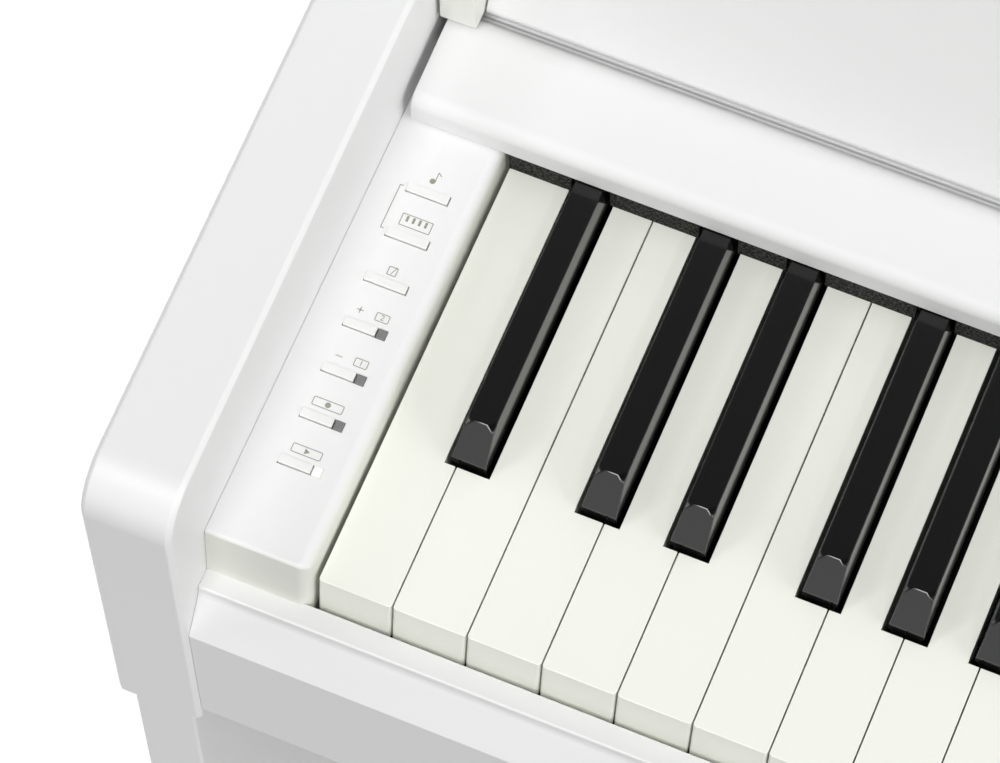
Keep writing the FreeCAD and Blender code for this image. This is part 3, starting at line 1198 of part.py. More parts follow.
glides = []
for side in (-1, 1):
    for glide_y in ("-dim.side_front + dim.glide_inset", "dim.side_back - dim.glide_inset"):
        glide = doc.addObject("Part::Box", f"glide_{len(glides)}")
        glide.setExpression("Length", "dim.glide_wide")
        glide.setExpression("Width", "dim.glide_long")
        glide.setExpression("Height", "dim.glide_thick")
        middle_x = f"{side} * ({SIDE_INNER} + {SIDE_THICK} / 2)"
        on_floor(glide, f"{middle_x} - dim.glide_wide / 2", f"{glide_y} - dim.glide_long / 2")
        glides.append(glide)
floor_glides = doc.addObject("Part::Compound", "floor_glides")
floor_glides.Links = glides

# --- nodes: check every object, then write one STEP file for each sub-part ---------------------------
NODES = [
    "side_arm_left", "side_arm_right", "key_slip", "bottom_board", "back_panel", "rear_top_board",
    "fallboard", "key_felt", "key_rest_felt", "key_frame", "control_block_left",
    "control_block_right", "panel_boards", "button_lamps", "power_button", "volume_slider",
    "lid_panel", "lid_hinge_covers", "lid_hinge_pins", "lid_flap", "flap_hinge_rod",
    "flap_hinge_leaf", "speakers", "speaker_grilles", "main_board", "headphone_box",
    "socket_panel", "leg_board_left", "leg_board_right", "stand_bolts", "stand_brace", "pedal_box",
    "pedal_rod", "pedal_soft", "pedal_sostenuto", "pedal_damper", "pedal_adjuster",
    "floor_glides", "white_keys_upper", "black_keys_upper",
]
NODES += [f"button_{button_name}" for button_name in BUTTON_NAMES]
NODES += [key.Label for key in single_keys]

doc.recompute()
for thing in doc.Objects:
    if "Invalid" in thing.State or "Error" in thing.State:
        raise RuntimeError(f"{thing.Name} failed: {thing.State}")
os.makedirs("parts", exist_ok=True)
for label in NODES:
    shape = doc.getObjectsByLabel(label)[0].Shape
    if shape.isNull() or not shape.isValid() or not shape.Solids:
        raise RuntimeError(f"{label} has no valid solid")
    shape.exportStep(f"parts/{label}.step")
print(len(NODES), "sub-parts written")
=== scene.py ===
"""Slim white console digital piano on its stand, built in the order that it is put together:
stand, pedals, cabinet, keys, control blocks, fallboard, lid. Metres, in the frame of the CAD."""

import json
from math import cos, pi, radians, sin

import bmesh
import bpy
from mathutils import Matrix, Quaternion, Vector


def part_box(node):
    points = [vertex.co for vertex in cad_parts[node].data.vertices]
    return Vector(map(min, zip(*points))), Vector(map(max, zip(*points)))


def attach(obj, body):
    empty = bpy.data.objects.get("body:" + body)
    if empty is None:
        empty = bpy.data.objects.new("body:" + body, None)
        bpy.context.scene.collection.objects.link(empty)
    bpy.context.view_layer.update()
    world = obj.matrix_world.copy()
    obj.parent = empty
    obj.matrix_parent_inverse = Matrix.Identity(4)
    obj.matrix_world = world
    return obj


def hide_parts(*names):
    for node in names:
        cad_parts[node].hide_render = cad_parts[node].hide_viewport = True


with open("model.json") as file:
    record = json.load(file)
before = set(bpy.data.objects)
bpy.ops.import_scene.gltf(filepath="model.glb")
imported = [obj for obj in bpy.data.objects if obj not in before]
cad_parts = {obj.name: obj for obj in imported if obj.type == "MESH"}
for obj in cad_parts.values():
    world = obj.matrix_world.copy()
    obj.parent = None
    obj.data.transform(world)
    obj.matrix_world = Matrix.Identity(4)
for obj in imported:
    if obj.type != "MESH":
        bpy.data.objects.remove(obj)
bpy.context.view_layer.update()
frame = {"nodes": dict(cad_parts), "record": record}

# --- Stand: two side boards, the brace between them and the pedal box ---------------------------
# Fibreboard under satin white paint, sprayed, with a faint orange peel. The arrises are eased by
# hand before painting. The boards are held to each other by bolts.
BOARD_WHITE = (234, 234, 234)
BOARD_ARRIS = 0.0011
SHARP_CORNER = radians(28)
SHADED_CORNER = radians(38)
WELD = 2e-6
FLAT = radians(0.6)
PATCH_SCALE = 9.0


def linear(shade):
    """Linear colour of a screen shade given from 0 to 255."""
    parts = [part / 255 for part in shade]
    return [p / 12.92 if p <= 0.04045 else ((p + 0.055) / 1.055) ** 2.4 for p in parts] + [1.0]


def new_group(name, sockets):
    """Shader node group with its sockets; returns it with its input and output nodes."""
    group = bpy.data.node_groups.new(name, "ShaderNodeTree")
    for label, way, kind in sockets:
        group.interface.new_socket(label, in_out=way, socket_type=kind)
    return group, group.nodes.new("NodeGroupInput"), group.nodes.new("NodeGroupOutput")


grain, grain_in, grain_out = new_group("surface_grain", [
    ("Vector", "INPUT", "NodeSocketVector"),
    ("Scale", "INPUT", "NodeSocketFloat"),
    ("Roughness", "INPUT", "NodeSocketFloat"),
    ("Spread", "INPUT", "NodeSocketFloat"),
    ("Height", "OUTPUT", "NodeSocketFloat"),
    ("Gloss", "OUTPUT", "NodeSocketFloat")])
fine = grain.nodes.new("ShaderNodeTexNoise")
fine.inputs["Detail"].default_value = 3.0
patchy = grain.nodes.new("ShaderNodeTexNoise")
patchy.inputs["Scale"].default_value = PATCH_SCALE
spread = grain.nodes.new("ShaderNodeMath")
spread.operation = "MULTIPLY_ADD"
centred = grain.nodes.new("ShaderNodeMath")
centred.operation = "SUBTRACT"
centred.inputs[1].default_value = 0.5
grain.links.new(grain_in.outputs["Vector"], fine.inputs["Vector"])
grain.links.new(grain_in.outputs["Vector"], patchy.inputs["Vector"])
grain.links.new(grain_in.outputs["Scale"], fine.inputs["Scale"])
grain.links.new(patchy.outputs["Fac"], centred.inputs[0])
grain.links.new(centred.outputs[0], spread.inputs[0])
grain.links.new(grain_in.outputs["Spread"], spread.inputs[1])
grain.links.new(grain_in.outputs["Roughness"], spread.inputs[2])
grain.links.new(fine.outputs["Fac"], grain_out.inputs["Height"])
grain.links.new(spread.outputs[0], grain_out.inputs["Gloss"])


def finish(name, shade, roughness, scale=900.0, relief=0.00002, spread=0.06, **sockets):
    """Material of one plain colour with the surface grain in its relief and gloss."""
    material = bpy.data.materials.new(name)
    material.use_nodes = True
    nodes, links = material.node_tree.nodes, material.node_tree.links
    shader = nodes["Principled BSDF"]
    shader.inputs["Base Color"].default_value = linear(shade)
    for label, value in sockets.items():
        shader.inputs[label.replace("_", " ")].default_value = value
    place = nodes.new("ShaderNodeTexCoord")
    texture = nodes.new("ShaderNodeGroup")
    texture.node_tree = grain
    texture.inputs["Scale"].default_value = scale
    texture.inputs["Roughness"].default_value = roughness
    texture.inputs["Spread"].default_value = spread
    bump = nodes.new("ShaderNodeBump")
    bump.inputs["Distance"].default_value = relief
    links.new(place.outputs["Object"], texture.inputs["Vector"])
    links.new(texture.outputs["Height"], bump.inputs["Height"])
    links.new(texture.outputs["Gloss"], shader.inputs["Roughness"])
    links.new(bump.outputs["Normal"], shader.inputs["Normal"])
    return material


def merged(node):
    """The node's mesh as a bmesh whose flat faces are whole again."""
    shape = bmesh.new()
    shape.from_mesh(frame["nodes"][node].data)
    bmesh.ops.remove_doubles(shape, verts=shape.verts, dist=WELD)
    bmesh.ops.dissolve_limit(shape, angle_limit=FLAT, verts=shape.verts, edges=shape.edges)
    return shape


def ease(shape, width, segments=3, where=lambda edge: True):
    """Round the sharp edges that the test in where picks."""
    sharp = [edge for edge in shape.edges
             if len(edge.link_faces) == 2 and edge.calc_face_angle() > SHARP_CORNER and where(edge)]
    bmesh.ops.bevel(shape, geom=sharp, offset=width, offset_type="OFFSET", affect="EDGES",
                    segments=segments, profile=0.5, material=-1, clamp_overlap=True)


def middle(edge):
    """Middle of an edge."""
    return (edge.verts[0].co + edge.verts[1].co) / 2


def piece_of(name, shape, material, body="root", instead_of=()):
    """Make the bmesh a piece that rides on a body, and hide the CAD nodes it stands for."""
    for face in shape.faces:
        face.smooth = True
    for edge in shape.edges:
        edge.smooth = len(edge.link_faces) == 2 and edge.calc_face_angle() < SHADED_CORNER
    mesh = bpy.data.meshes.new(name)
    shape.to_mesh(mesh)
    shape.free()
    piece = bpy.data.objects.new(name, mesh)
    bpy.context.scene.collection.objects.link(piece)
    mesh.materials.append(material)
    even = piece.modifiers.new("even_shading", "WEIGHTED_NORMAL")
    even.keep_sharp = True
    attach(piece, body)
    if instead_of:
        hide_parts(*instead_of)
    return piece


def eased(node, material, slot, width, body="root", **how):
    """The node with its edges rounded, standing for the node."""
    shape = merged(node)
    ease(shape, width, **how)
    return piece_of(f"{node}_finished", shape, material, body, [node])


painted_board = finish("painted_board", BOARD_WHITE, 0.42, 700.0, 0.00003)
for board in ("leg_board_left", "leg_board_right", "stand_brace", "pedal_box"):
    eased(board, painted_board, "painted_board", BOARD_ARRIS)

# --- The stand's bolts ---------------------------------------------------------------------------
# Zinc plated furniture bolts with a low round head and a hexagon socket, one pair at each end of
# the brace and of the pedal box.
SOCKET_ACROSS = 0.0040
SOCKET_DEEP = 0.0015
HEAD_SIDES = 28
HEAD_TAPER = 0.94             # top of a head against its foot
SOCKET_ROOM = 0.56            # half width left for the hexagon, against its width across flats
HEXAGON_CORNER = 0.577        # centre to corner, against the width across flats

zinc = finish("zinc_plate", (190, 191, 194), 0.30, 1500.0, 0.00001, 0.10, Metallic=1.0)


def islands(shape):
    """Vertices of each separate solid in a bmesh, in the order of their places."""
    left = set(shape.verts)
    found = []
    while left:
        solid, fresh = [], [left.pop()]
        while fresh:
            vert = fresh.pop()
            solid.append(vert)
            for edge in vert.link_edges:
                other = edge.other_vert(vert)
                if other in left:
                    left.discard(other)
                    fresh.append(other)
        found.append(solid)
    return sorted(found, key=lambda verts: tuple(span(verts)[0]))


def span(verts):
    """Opposite corners of the box round the vertices."""
    return (Vector([min(vert.co[i] for vert in verts) for i in range(3)]),
            Vector([max(vert.co[i] for vert in verts) for i in range(3)]))


def facing(direction):
    """Turn that takes +Z to the direction."""
    return Vector(direction).to_track_quat("Z", "Y").to_matrix().to_4x4()


def drive_head(shape, spot, direction, radius, thick, across, deep):
    """Screw head standing on the spot, with a hexagon socket in its top."""
    turn = Matrix.Translation(spot) @ facing(direction)
    ring = bmesh.ops.create_circle(shape, cap_ends=True, radius=radius,
                                    segments=HEAD_SIDES)["verts"]
    base = ring[0].link_faces[0]
    top = bmesh.ops.extrude_face_region(shape, geom=[base])["geom"]
    top_verts = [g for g in top if isinstance(g, bmesh.types.BMVert)]
    top_face = [g for g in top if isinstance(g, bmesh.types.BMFace)][0]
    bmesh.ops.translate(shape, verts=top_verts, vec=(0, 0, thick))
    for vert in top_verts:
        vert.co.xy *= HEAD_TAPER
    inner = bmesh.ops.inset_region(shape, faces=[top_face],
                                   thickness=radius * HEAD_TAPER - across * SOCKET_ROOM)
    for index, vert in enumerate(top_face.verts):
        side = (index % HEAD_SIDES) * 6 / HEAD_SIDES
        share = side - int(side)
        a, b = (Vector((cos(k * pi / 3), sin(k * pi / 3))) for k in (int(side), int(side) + 1))
        vert.co.xy = a.lerp(b, share) * across * HEXAGON_CORNER
    well = bmesh.ops.extrude_face_region(shape, geom=[top_face])["geom"]
    well_verts = [g for g in well if isinstance(g, bmesh.types.BMVert)]
    bmesh.ops.translate(shape, verts=well_verts, vec=(0, 0, -deep))
    bmesh.ops.delete(shape, geom=[top_face], context="FACES_ONLY")
    made = set(ring) | set(top_verts) | set(well_verts) | {v for f in inner["faces"] for v in f.verts}
    bmesh.ops.transform(shape, matrix=turn, verts=list(made))


heads = bmesh.new()
leg_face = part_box("leg_board_right")[1].x
bolts = merged("stand_bolts")
for low, high in map(span, islands(bolts)):
    side = 1 if low.x > 0 else -1
    axis = (low + high) / 2
    thick = (high.x if side > 0 else -low.x) - leg_face
    spot = Vector((side * leg_face, axis.y, axis.z))
    drive_head(heads, spot, (side, 0, 0), (high.z - low.z) / 2, thick, SOCKET_ACROSS, SOCKET_DEEP)
piece_of("stand_bolt_heads", heads, zinc, "root", ["stand_bolts"])

# --- Floor glides, pedal adjuster and pedals -----------------------------------------------------
# Four moulded rubber glides, a hand wheel that props the pedal box on the floor, and three cast
# pedals, polished and plated, on one steel rod inside the box.
PEDAL_ROUND = 0.0019
MOULDED_ROUND = 0.0006
ROD_ROUND = 0.0003

rubber = finish("glide_rubber", (38, 38, 38), 0.75, 1200.0, 0.00004)
wheel_plastic = finish("adjuster_plastic", (222, 222, 220), 0.5)
plating = finish("pedal_plating", (214, 211, 203), 0.10, 300.0, 0.000004, 0.05, Metallic=1.0)
eased("floor_glides", rubber, "glide_rubber", MOULDED_ROUND)
eased("pedal_adjuster", wheel_plastic, "adjuster_plastic", MOULDED_ROUND)
for pedal in ("pedal_soft", "pedal_sostenuto", "pedal_damper"):
    eased(pedal, plating, "pedal_plate", PEDAL_ROUND, pedal, segments=4)
eased("pedal_rod", zinc, "steel", ROD_ROUND)

# --- Cabinet: bottom board, back panel and rear top board ----------------------------------------
# Painted boards of the same make as the stand. The back panel is screwed on from behind.
CABINET_ARRIS = 0.0005
PANEL_SCREW_PITCH = 0.144
PANEL_SCREW_INSET = 0.008
SCREW_HEAD = 0.0036
SCREW_THICK = 0.0014
SCREW_SOCKET = 0.0026
SCREW_SOCKET_DEEP = 0.0009

for board in ("bottom_board", "back_panel", "rear_top_board"):
    eased(board, painted_board, "painted_board", CABINET_ARRIS)
black_steel = finish("black_oxide", (44, 44, 46), 0.42, 1500.0, 0.00001, 0.08, Metallic=0.6)
panel_low, panel_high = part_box("back_panel")
panel_screws = bmesh.new()
count = int((panel_high.x - panel_low.x - 2 * PANEL_SCREW_INSET) / PANEL_SCREW_PITCH) + 1
for index in range(count):
    along = (index - (count - 1) / 2) * PANEL_SCREW_PITCH
    for z in (panel_low.z + PANEL_SCREW_INSET, panel_high.z - PANEL_SCREW_INSET):
        drive_head(panel_screws, Vector((along, panel_high.y, z)), (0, 1, 0), SCREW_HEAD,
                   SCREW_THICK, SCREW_SOCKET, SCREW_SOCKET_DEEP)
piece_of("back_panel_screws", panel_screws, black_steel, "root")

# --- Speakers and their covers, circuit boards ---------------------------------------------------
# Two drivers on the bottom board behind slotted steel covers, powder coated, and the boards that
# carry the electronics.
grille_coat = finish("grille_coat", (204, 204, 202), 0.55, 1600.0, 0.00003)
speaker_black = finish("speaker_black", (34, 34, 35), 0.7, 900.0, 0.00004)
solder_mask = finish("solder_mask", (22, 84, 46), 0.38, 600.0, 0.00001)


def refinish(node, material):
    """Give a CAD node that keeps its own shape its material."""
    for slot in frame["nodes"][node].material_slots:
        slot.material = material


refinish("speaker_grilles", grille_coat)
refinish("speakers", speaker_black)
refinish("main_board", solder_mask)
refinish("panel_boards", solder_mask)

# --- Headphone box and rear socket panel ---------------------------------------------------------
# A moulded box under the front edge with two jacks, each held by a ring nut, and a black moulded
# panel of sockets behind.
BOX_EDGE = 0.0007
PANEL_EDGE = 0.0003
NUT_WALL = 0.0021
NUT_PROUD = 0.0009
NUT_LIP = 0.25                # share of the nut's wall that its rim is eased by
NUT_STEPS = 32

moulding = finish("case_moulding", (238, 238, 237), 0.46, 1100.0, 0.00003)
socket_black = finish("socket_plastic", (30, 30, 31), 0.55, 1200.0, 0.00003)
nickel = finish("nickel", (206, 203, 196), 0.22, 900.0, 0.00001, 0.05, Metallic=1.0)
eased("headphone_box", moulding, "case_moulding", BOX_EDGE)
eased("socket_panel", socket_black, "socket_plastic", PANEL_EDGE)


def ring(shape, spot, direction, inner, outer, proud):
    """Washer-like ring with an eased outer rim, standing on the spot."""
    before = set(shape.verts)
    lip = (outer - inner) * NUT_LIP
    profile = [(inner, 0), (inner, proud), (outer - lip, proud), (outer, proud - lip), (outer, 0)]
    corners = [shape.verts.new((radius, 0, height)) for radius, height in profile]
    edges = [shape.edges.new(pair) for pair in zip(corners, corners[1:] + corners[:1])]
    bmesh.ops.spin(shape, geom=corners + edges, cent=(0, 0, 0), axis=(0, 0, 1), dvec=(0, 0, 0),
                   angle=2 * pi, steps=NUT_STEPS, use_merge=True, use_duplicate=False)
    made = [vert for vert in shape.verts if vert not in before]
    bmesh.ops.recalc_face_normals(shape, faces=list({f for v in made for f in v.link_faces}))
    bmesh.ops.transform(shape, matrix=Matrix.Translation(spot) @ facing(direction), verts=made)


nuts = bmesh.new()
box_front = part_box("headphone_box")[0].y
for mount in frame["record"]["mounts"]:
    if mount["name"].endswith(("socket_left", "socket_right")):
        spot = Vector((mount["pos_m"][0], box_front + NUT_PROUD, mount["pos_m"][2]))
        hole = mount["dims"]["r_mm"] / 1000
        ring(nuts, spot, mount["axis"], hole, hole + NUT_WALL, NUT_PROUD)
piece_of("headphone_socket_nuts", nuts, nickel, "root")

# --- Side arms -----------------------------------------------------------------------------------
# The painted boards at each end of the keyboard, with a rounded nose and finely eased arrises.
ARM_ARRIS = 0.0004

for board in ("side_arm_left", "side_arm_right"):
    eased(board, painted_board, "painted_board", ARM_ARRIS)

# --- Key slip ------------------------------------------------------------------------------------
# The long rail in front of the keys: a ledge, a cove and a sloping face, painted. The ledge
# has a painted shade: its upward faces are painted darker, to hold back the light falling on them.
SLIP_SLOPE, SLIP_LEDGE_SHADED = (237, 237, 237), (225, 225, 224)
SLIP_EDGE = 0.0005


def painted_shade_by_tilt(material, steep, flat, from_rise, to_rise):
    """Painted shade: the colour goes from steep to flat as a face's normal turns upward, by tilt
    alone.
    """
    nodes, links = material.node_tree.nodes, material.node_tree.links
    surface = nodes.new("ShaderNodeNewGeometry")
    up_part = nodes.new("ShaderNodeSeparateXYZ")
    flat_share = nodes.new("ShaderNodeMapRange")
    flat_share.inputs["From Min"].default_value = from_rise
    flat_share.inputs["From Max"].default_value = to_rise
    tilt_shade = nodes.new("ShaderNodeMix")
    tilt_shade.data_type = "RGBA"
    tilt_shade.inputs["A"].default_value = linear(steep)
    tilt_shade.inputs["B"].default_value = linear(flat)
    links.new(surface.outputs["Normal"], up_part.inputs[0])
    links.new(up_part.outputs["Z"], flat_share.inputs["Value"])
    links.new(flat_share.outputs["Result"], tilt_shade.inputs["Factor"])
    links.new(tilt_shade.outputs["Result"], nodes["Principled BSDF"].inputs["Base Color"])


slip_paint = finish("slip_paint", SLIP_SLOPE, 0.50, 700.0, 0.00002, Specular_IOR_Level=0.3)
painted_shade_by_tilt(slip_paint, SLIP_SLOPE, SLIP_LEDGE_SHADED, 0.85, 0.98)
eased("key_slip", slip_paint, "case_moulding", SLIP_EDGE)

# --- Key frame and the keys ----------------------------------------------------------------------
# White keys are moulded in polished off-white plastic with slightly eased edges; black keys in
# polished black plastic with eased edges and cut front corners. All rock on the ridge of a black
# moulded frame.
SAME_PLACE = 0.0002           # within this two places count as one
KEY_SWELL = 0.00012           # widens a white key on each side, so that the gaps look thin
WHITE_EASE = 0.00045
WHITE_CORNER = 0.0010
WHITE_EASED_DEPTH = 0.0195    # edges lower than this under the keys' tops stay sharp
BLACK_EDGE = 0.0006
BLACK_CORNER = 0.0026
BLACK_EASED_FROM = 0.0020     # above the white keys' tops
SLOPE_RUN = 0.0100
FRONT_DRAFT = 0.0021

frame_black = finish("frame_plastic", (36, 36, 37), 0.6)
key_white = finish("white_key_plastic", (244, 245, 236), 0.24, 500.0, 0.000006, 0.04)
key_black = finish("black_key_plastic", (6, 6, 6), 0.16, 900.0, 0.000008, 0.05)
refinish("key_frame", frame_black)
key_low, key_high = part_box("white_key_A0")
black_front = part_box("black_key_As0")[0].y


def upright(edge):
    """True for an edge that rises more than it runs."""
    along = edge.verts[1].co - edge.verts[0].co
    return abs(along.z) > 0.9 * along.length


for node in sorted(frame["nodes"]):
    if node.startswith("white_key"):
        key = merged(node)
        for verts in islands(key):
            low, high = span(verts)
            for vert in verts:
                if min(vert.co.x - low.x, high.x - vert.co.x) < KEY_SWELL:
                    vert.co.x += KEY_SWELL if vert.co.x > (low.x + high.x) / 2 else -KEY_SWELL
        ease(key, WHITE_CORNER, where=lambda edge: upright(edge)
             and middle(edge).y < key_low.y + 2 * FRONT_DRAFT)
        ease(key, WHITE_EASE, where=lambda edge: middle(edge).z > key_high.z - WHITE_EASED_DEPTH)
        piece_of(f"{node}_finished", key, key_white, node, [node])
    if node.startswith("black_key"):
        key = merged(node)
        top = max(vert.co.z for vert in key.verts)
        corners = [vert for vert in key.verts
                   if vert.co.z > top - SAME_PLACE and vert.co.y < black_front + SLOPE_RUN]
        bmesh.ops.bevel(key, geom=corners, offset=BLACK_CORNER, offset_type="OFFSET", segments=1,
                        profile=0.5, affect="VERTICES", material=-1)
        ease(key, BLACK_EDGE, where=lambda edge: middle(edge).z > key_high.z + BLACK_EASED_FROM)
        piece_of(f"{node}_finished", key, key_black, node, [node])

# --- Felts ---------------------------------------------------------------------------------------
# Pressed black felt, mottled with paler wool: a strip behind the fallboard's lower lip, notched
# round the black keys, and the strip that stops the keys.
FELT_DARK, FELT_LIGHT = (12, 12, 11), (84, 84, 79)
felt = finish("pressed_felt", FELT_DARK, 0.95, 1500.0, 0.0012, 0.0, Specular_IOR_Level=0.2)
nodes, links = felt.node_tree.nodes, felt.node_tree.links
wool = nodes.new("ShaderNodeTexNoise")
wool.inputs["Scale"].default_value = 1100.0
wool.inputs["Detail"].default_value = 4.0
tufts = nodes.new("ShaderNodeMapRange")
tufts.inputs["From Min"].default_value = 0.40
tufts.inputs["From Max"].default_value = 0.68
mottle = nodes.new("ShaderNodeMix")
mottle.data_type = "RGBA"
mottle.inputs["A"].default_value = linear(FELT_DARK)
mottle.inputs["B"].default_value = linear(FELT_LIGHT)
links.new(nodes["Texture Coordinate"].outputs["Object"], wool.inputs["Vector"])
links.new(wool.outputs["Fac"], tufts.inputs["Value"])
links.new(tufts.outputs["Result"], mottle.inputs["Factor"])
links.new(mottle.outputs["Result"], nodes["Principled BSDF"].inputs["Base Color"])
refinish("key_felt", felt)
refinish("key_rest_felt", felt)

# --- Control blocks ------------------------------------------------------------------------------
# Moulded shells at each end of the keys. The left one carries seven push buttons, the right one
# the power button and the volume slider.
BLOCK_SIDE_SHADED, BLOCK_ROOF = (230, 231, 223), (235, 235, 235)
INNER_EDGE = 0.0007
FRONT_EDGE = 0.0012
FOOT_EDGE = 0.0005
FOOT_BELOW = 0.015            # the foot's edges lie lower than this under the roof
OTHER_EDGE = 0.00015
ARM_GAP = 0.00012
SAME_EDGE = 1e-5
BUTTON_EDGE = 0.0003
BUTTON_SHRINK = 0.00026
SIDE_BUTTON_EDGE = 0.0004

shell = finish("block_plastic", BLOCK_ROOF, 0.50, 1100.0, 0.00003, Specular_IOR_Level=0.25)
# painted shade: upright faces of the shells are painted darker and more olive than the roof, by their
# tilt
painted_shade_by_tilt(shell, BLOCK_SIDE_SHADED, BLOCK_ROOF, 0.3, 0.9)
for side, node in ((1, "control_block_left"), (-1, "control_block_right")):
    block = merged(node)
    low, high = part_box(node)
    inner, outer = (high.x, low.x) if side > 0 else (low.x, high.x)
    arm_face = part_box("side_arm_left")[1].x * side
    for vert in block.verts:
        if abs(vert.co.x - outer) < SAME_PLACE:
            vert.co.x = arm_face + side * ARM_GAP
    front = min(vert.co.y for vert in block.verts if vert.co.z > high.z - SAME_PLACE)
    ease(block, FRONT_EDGE, segments=6, where=lambda edge: middle(edge).z > high.z - SAME_PLACE
         and middle(edge).y < front + SAME_PLACE)
    ease(block, FOOT_EDGE, where=lambda edge: middle(edge).y < front
         and max(vert.co.z for vert in edge.verts) < high.z - FOOT_BELOW)
    ease(block, INNER_EDGE, segments=5, where=lambda edge: abs(middle(edge).x - inner) < SAME_EDGE
         and middle(edge).z > high.z - SAME_EDGE)
    ease(block, OTHER_EDGE)
    piece_of(f"{node}_finished", block, shell, "root", [node])

button_white = finish("button_plastic", (236, 236, 234), 0.40, 1100.0, 0.00002)
for button in ("play", "record", "minus", "plus", "metronome", "voice", "song"):
    node = f"button_{button}"
    cap = merged(node)
    top = [vert.co for vert in cap.verts if vert.co.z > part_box(node)[1].z - SAME_EDGE]
    near = min(co.y for co in top)
    right = max(co.x for co in top)
    for vert in cap.verts:
        if abs(vert.co.y - near) < SAME_EDGE:
            vert.co.y += BUTTON_SHRINK
        if abs(vert.co.x - right) < SAME_EDGE:
            vert.co.x -= BUTTON_SHRINK
    ease(cap, BUTTON_EDGE, where=lambda edge: middle(edge).y < near + 2 * BUTTON_SHRINK
         or middle(edge).x > right - 2 * BUTTON_SHRINK)
    piece_of(f"{node}_finished", cap, button_white, node, [node])
eased("power_button", button_white, "button_plastic", SIDE_BUTTON_EDGE, "power_button")
eased("volume_slider", button_white, "button_plastic", SIDE_BUTTON_EDGE, "volume_slider")

# --- Lamps ---------------------------------------------------------------------------------------
# A smoky lens beside each of the first four buttons; the first one is lit.
lens = finish("lamp_lens", (124, 124, 124), 0.30, 900.0, 0.00001)
lit_lens = finish("lit_lens", (250, 250, 244), 0.30, 900.0, 0.00001,
                  Emission_Color=linear((255, 255, 248)), Emission_Strength=0.12)
LAMP_PITCH = 0.016
LAMP_EDGE = 0.0002
lamp_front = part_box("button_lamps")[0].y
for name, material, first, last in (("lamp_lit", lit_lens, 0, 1), ("lamps_dark", lens, 1, 4)):
    lamps = merged("button_lamps")
    others = [v for v in lamps.verts if not first <= (v.co.y - lamp_front) / LAMP_PITCH < last]
    bmesh.ops.delete(lamps, geom=others, context="VERTS")
    ease(lamps, LAMP_EDGE)
    piece_of(name, lamps, material, "root", ["button_lamps"])

# --- Legends on the blocks -----------------------------------------------------------------------
# Thin grey printing: framed signs beside the first four buttons, plain signs above the others.
# Places are measured from the end of the keys and from the key fronts.
INK_LINE = 0.00027
INK_LIFT = 0.00005

ink = finish("legend_ink", (150, 150, 134), 0.6, 900.0, 0.000002)
keys_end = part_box("key_frame")[0].x
keys_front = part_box("white_key_A0")[0].y + FRONT_DRAFT
block_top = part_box("control_block_left")[1].z
legends = bmesh.new()


def stamp(shape, verts, x, y, end=keys_end):
    """Move flat printing, drawn about the origin, to its place on a block's top."""
    bmesh.ops.translate(shape, verts=verts, vec=(end + x, keys_front + y, block_top + INK_LIFT))


def bar(shape, x, y, long, wide=INK_LINE, turn=0.0, end=keys_end):
    """Printed straight line about its middle."""
    verts = bmesh.ops.create_grid(shape, x_segments=1, y_segments=1, size=0.5)["verts"]
    bmesh.ops.scale(shape, verts=verts, vec=(long, wide, 1))
    bmesh.ops.rotate(shape, verts=verts, cent=(0, 0, 0), matrix=Matrix.Rotation(radians(turn), 3, "Z"))
    stamp(shape, verts, x, y, end)


def dot(shape, x, y, radius, segments=24, turn=0.0, end=keys_end):
    """Printed disc, or a triangle from three segments."""
    verts = bmesh.ops.create_circle(shape, cap_ends=True, radius=radius, segments=segments,
                                    matrix=Matrix.Rotation(radians(turn), 4, "Z"))["verts"]
    stamp(shape, verts, x, y, end)


def hoop(shape, x, y, long, wide, corner, end=keys_end, line=INK_LINE):
    """Printed frame with round corners."""
    verts = bmesh.ops.create_grid(shape, x_segments=1, y_segments=1, size=0.5)["verts"]
    bmesh.ops.scale(shape, verts=verts, vec=(long, wide, 1))
    made = bmesh.ops.bevel(shape, geom=verts, offset=corner, offset_type="OFFSET", segments=6,
                           profile=0.5, affect="VERTICES", material=-1)
    face = max(made["verts"][0].link_faces, key=lambda f: f.calc_area())
    rim = bmesh.ops.inset_region(shape, faces=[face], thickness=line, use_boundary=True,
                                 use_even_offset=True)
    verts = list({v for f in rim["faces"] for v in f.verts})
    bmesh.ops.delete(shape, geom=[face], context="FACES_ONLY")
    stamp(shape, verts, x, y, end)


def numeral(shape, text, x, y, size):
    """Printed numeral about its middle."""
    curve = bpy.data.curves.new("numeral", "FONT")
    curve.body, curve.size = text, size
    curve.align_x, curve.align_y = "CENTER", "CENTER"
    letter = bpy.data.objects.new("numeral", curve)
    flat = bpy.data.meshes.new_from_object(letter)
    before = set(shape.verts)
    shape.from_mesh(flat)
    bpy.data.objects.remove(letter)
    stamp(shape, [v for v in shape.verts if v not in before], x, y)


# a framed triangle to play, a framed disc to record
hoop(legends, -0.0167, 0.0315, 0.0096, 0.0030, 0.0006)
dot(legends, -0.0168, 0.0315, 0.0011, 3, -90)
hoop(legends, -0.0169, 0.0476, 0.0098, 0.0030, 0.0006)
dot(legends, -0.0169, 0.0476, 0.0009)
# framed numbers beside a minus and a plus
for text, y in (("1", 0.0637), ("2", 0.0797)):
    hoop(legends, -0.0132, y, 0.0044, 0.0029, 0.0005)
    numeral(legends, text, -0.0132, y, 0.0026)
bar(legends, -0.0203, 0.0635, 0.0021)
bar(legends, -0.0204, 0.0798, 0.0021)
bar(legends, -0.0204, 0.0798, 0.0021, turn=90)
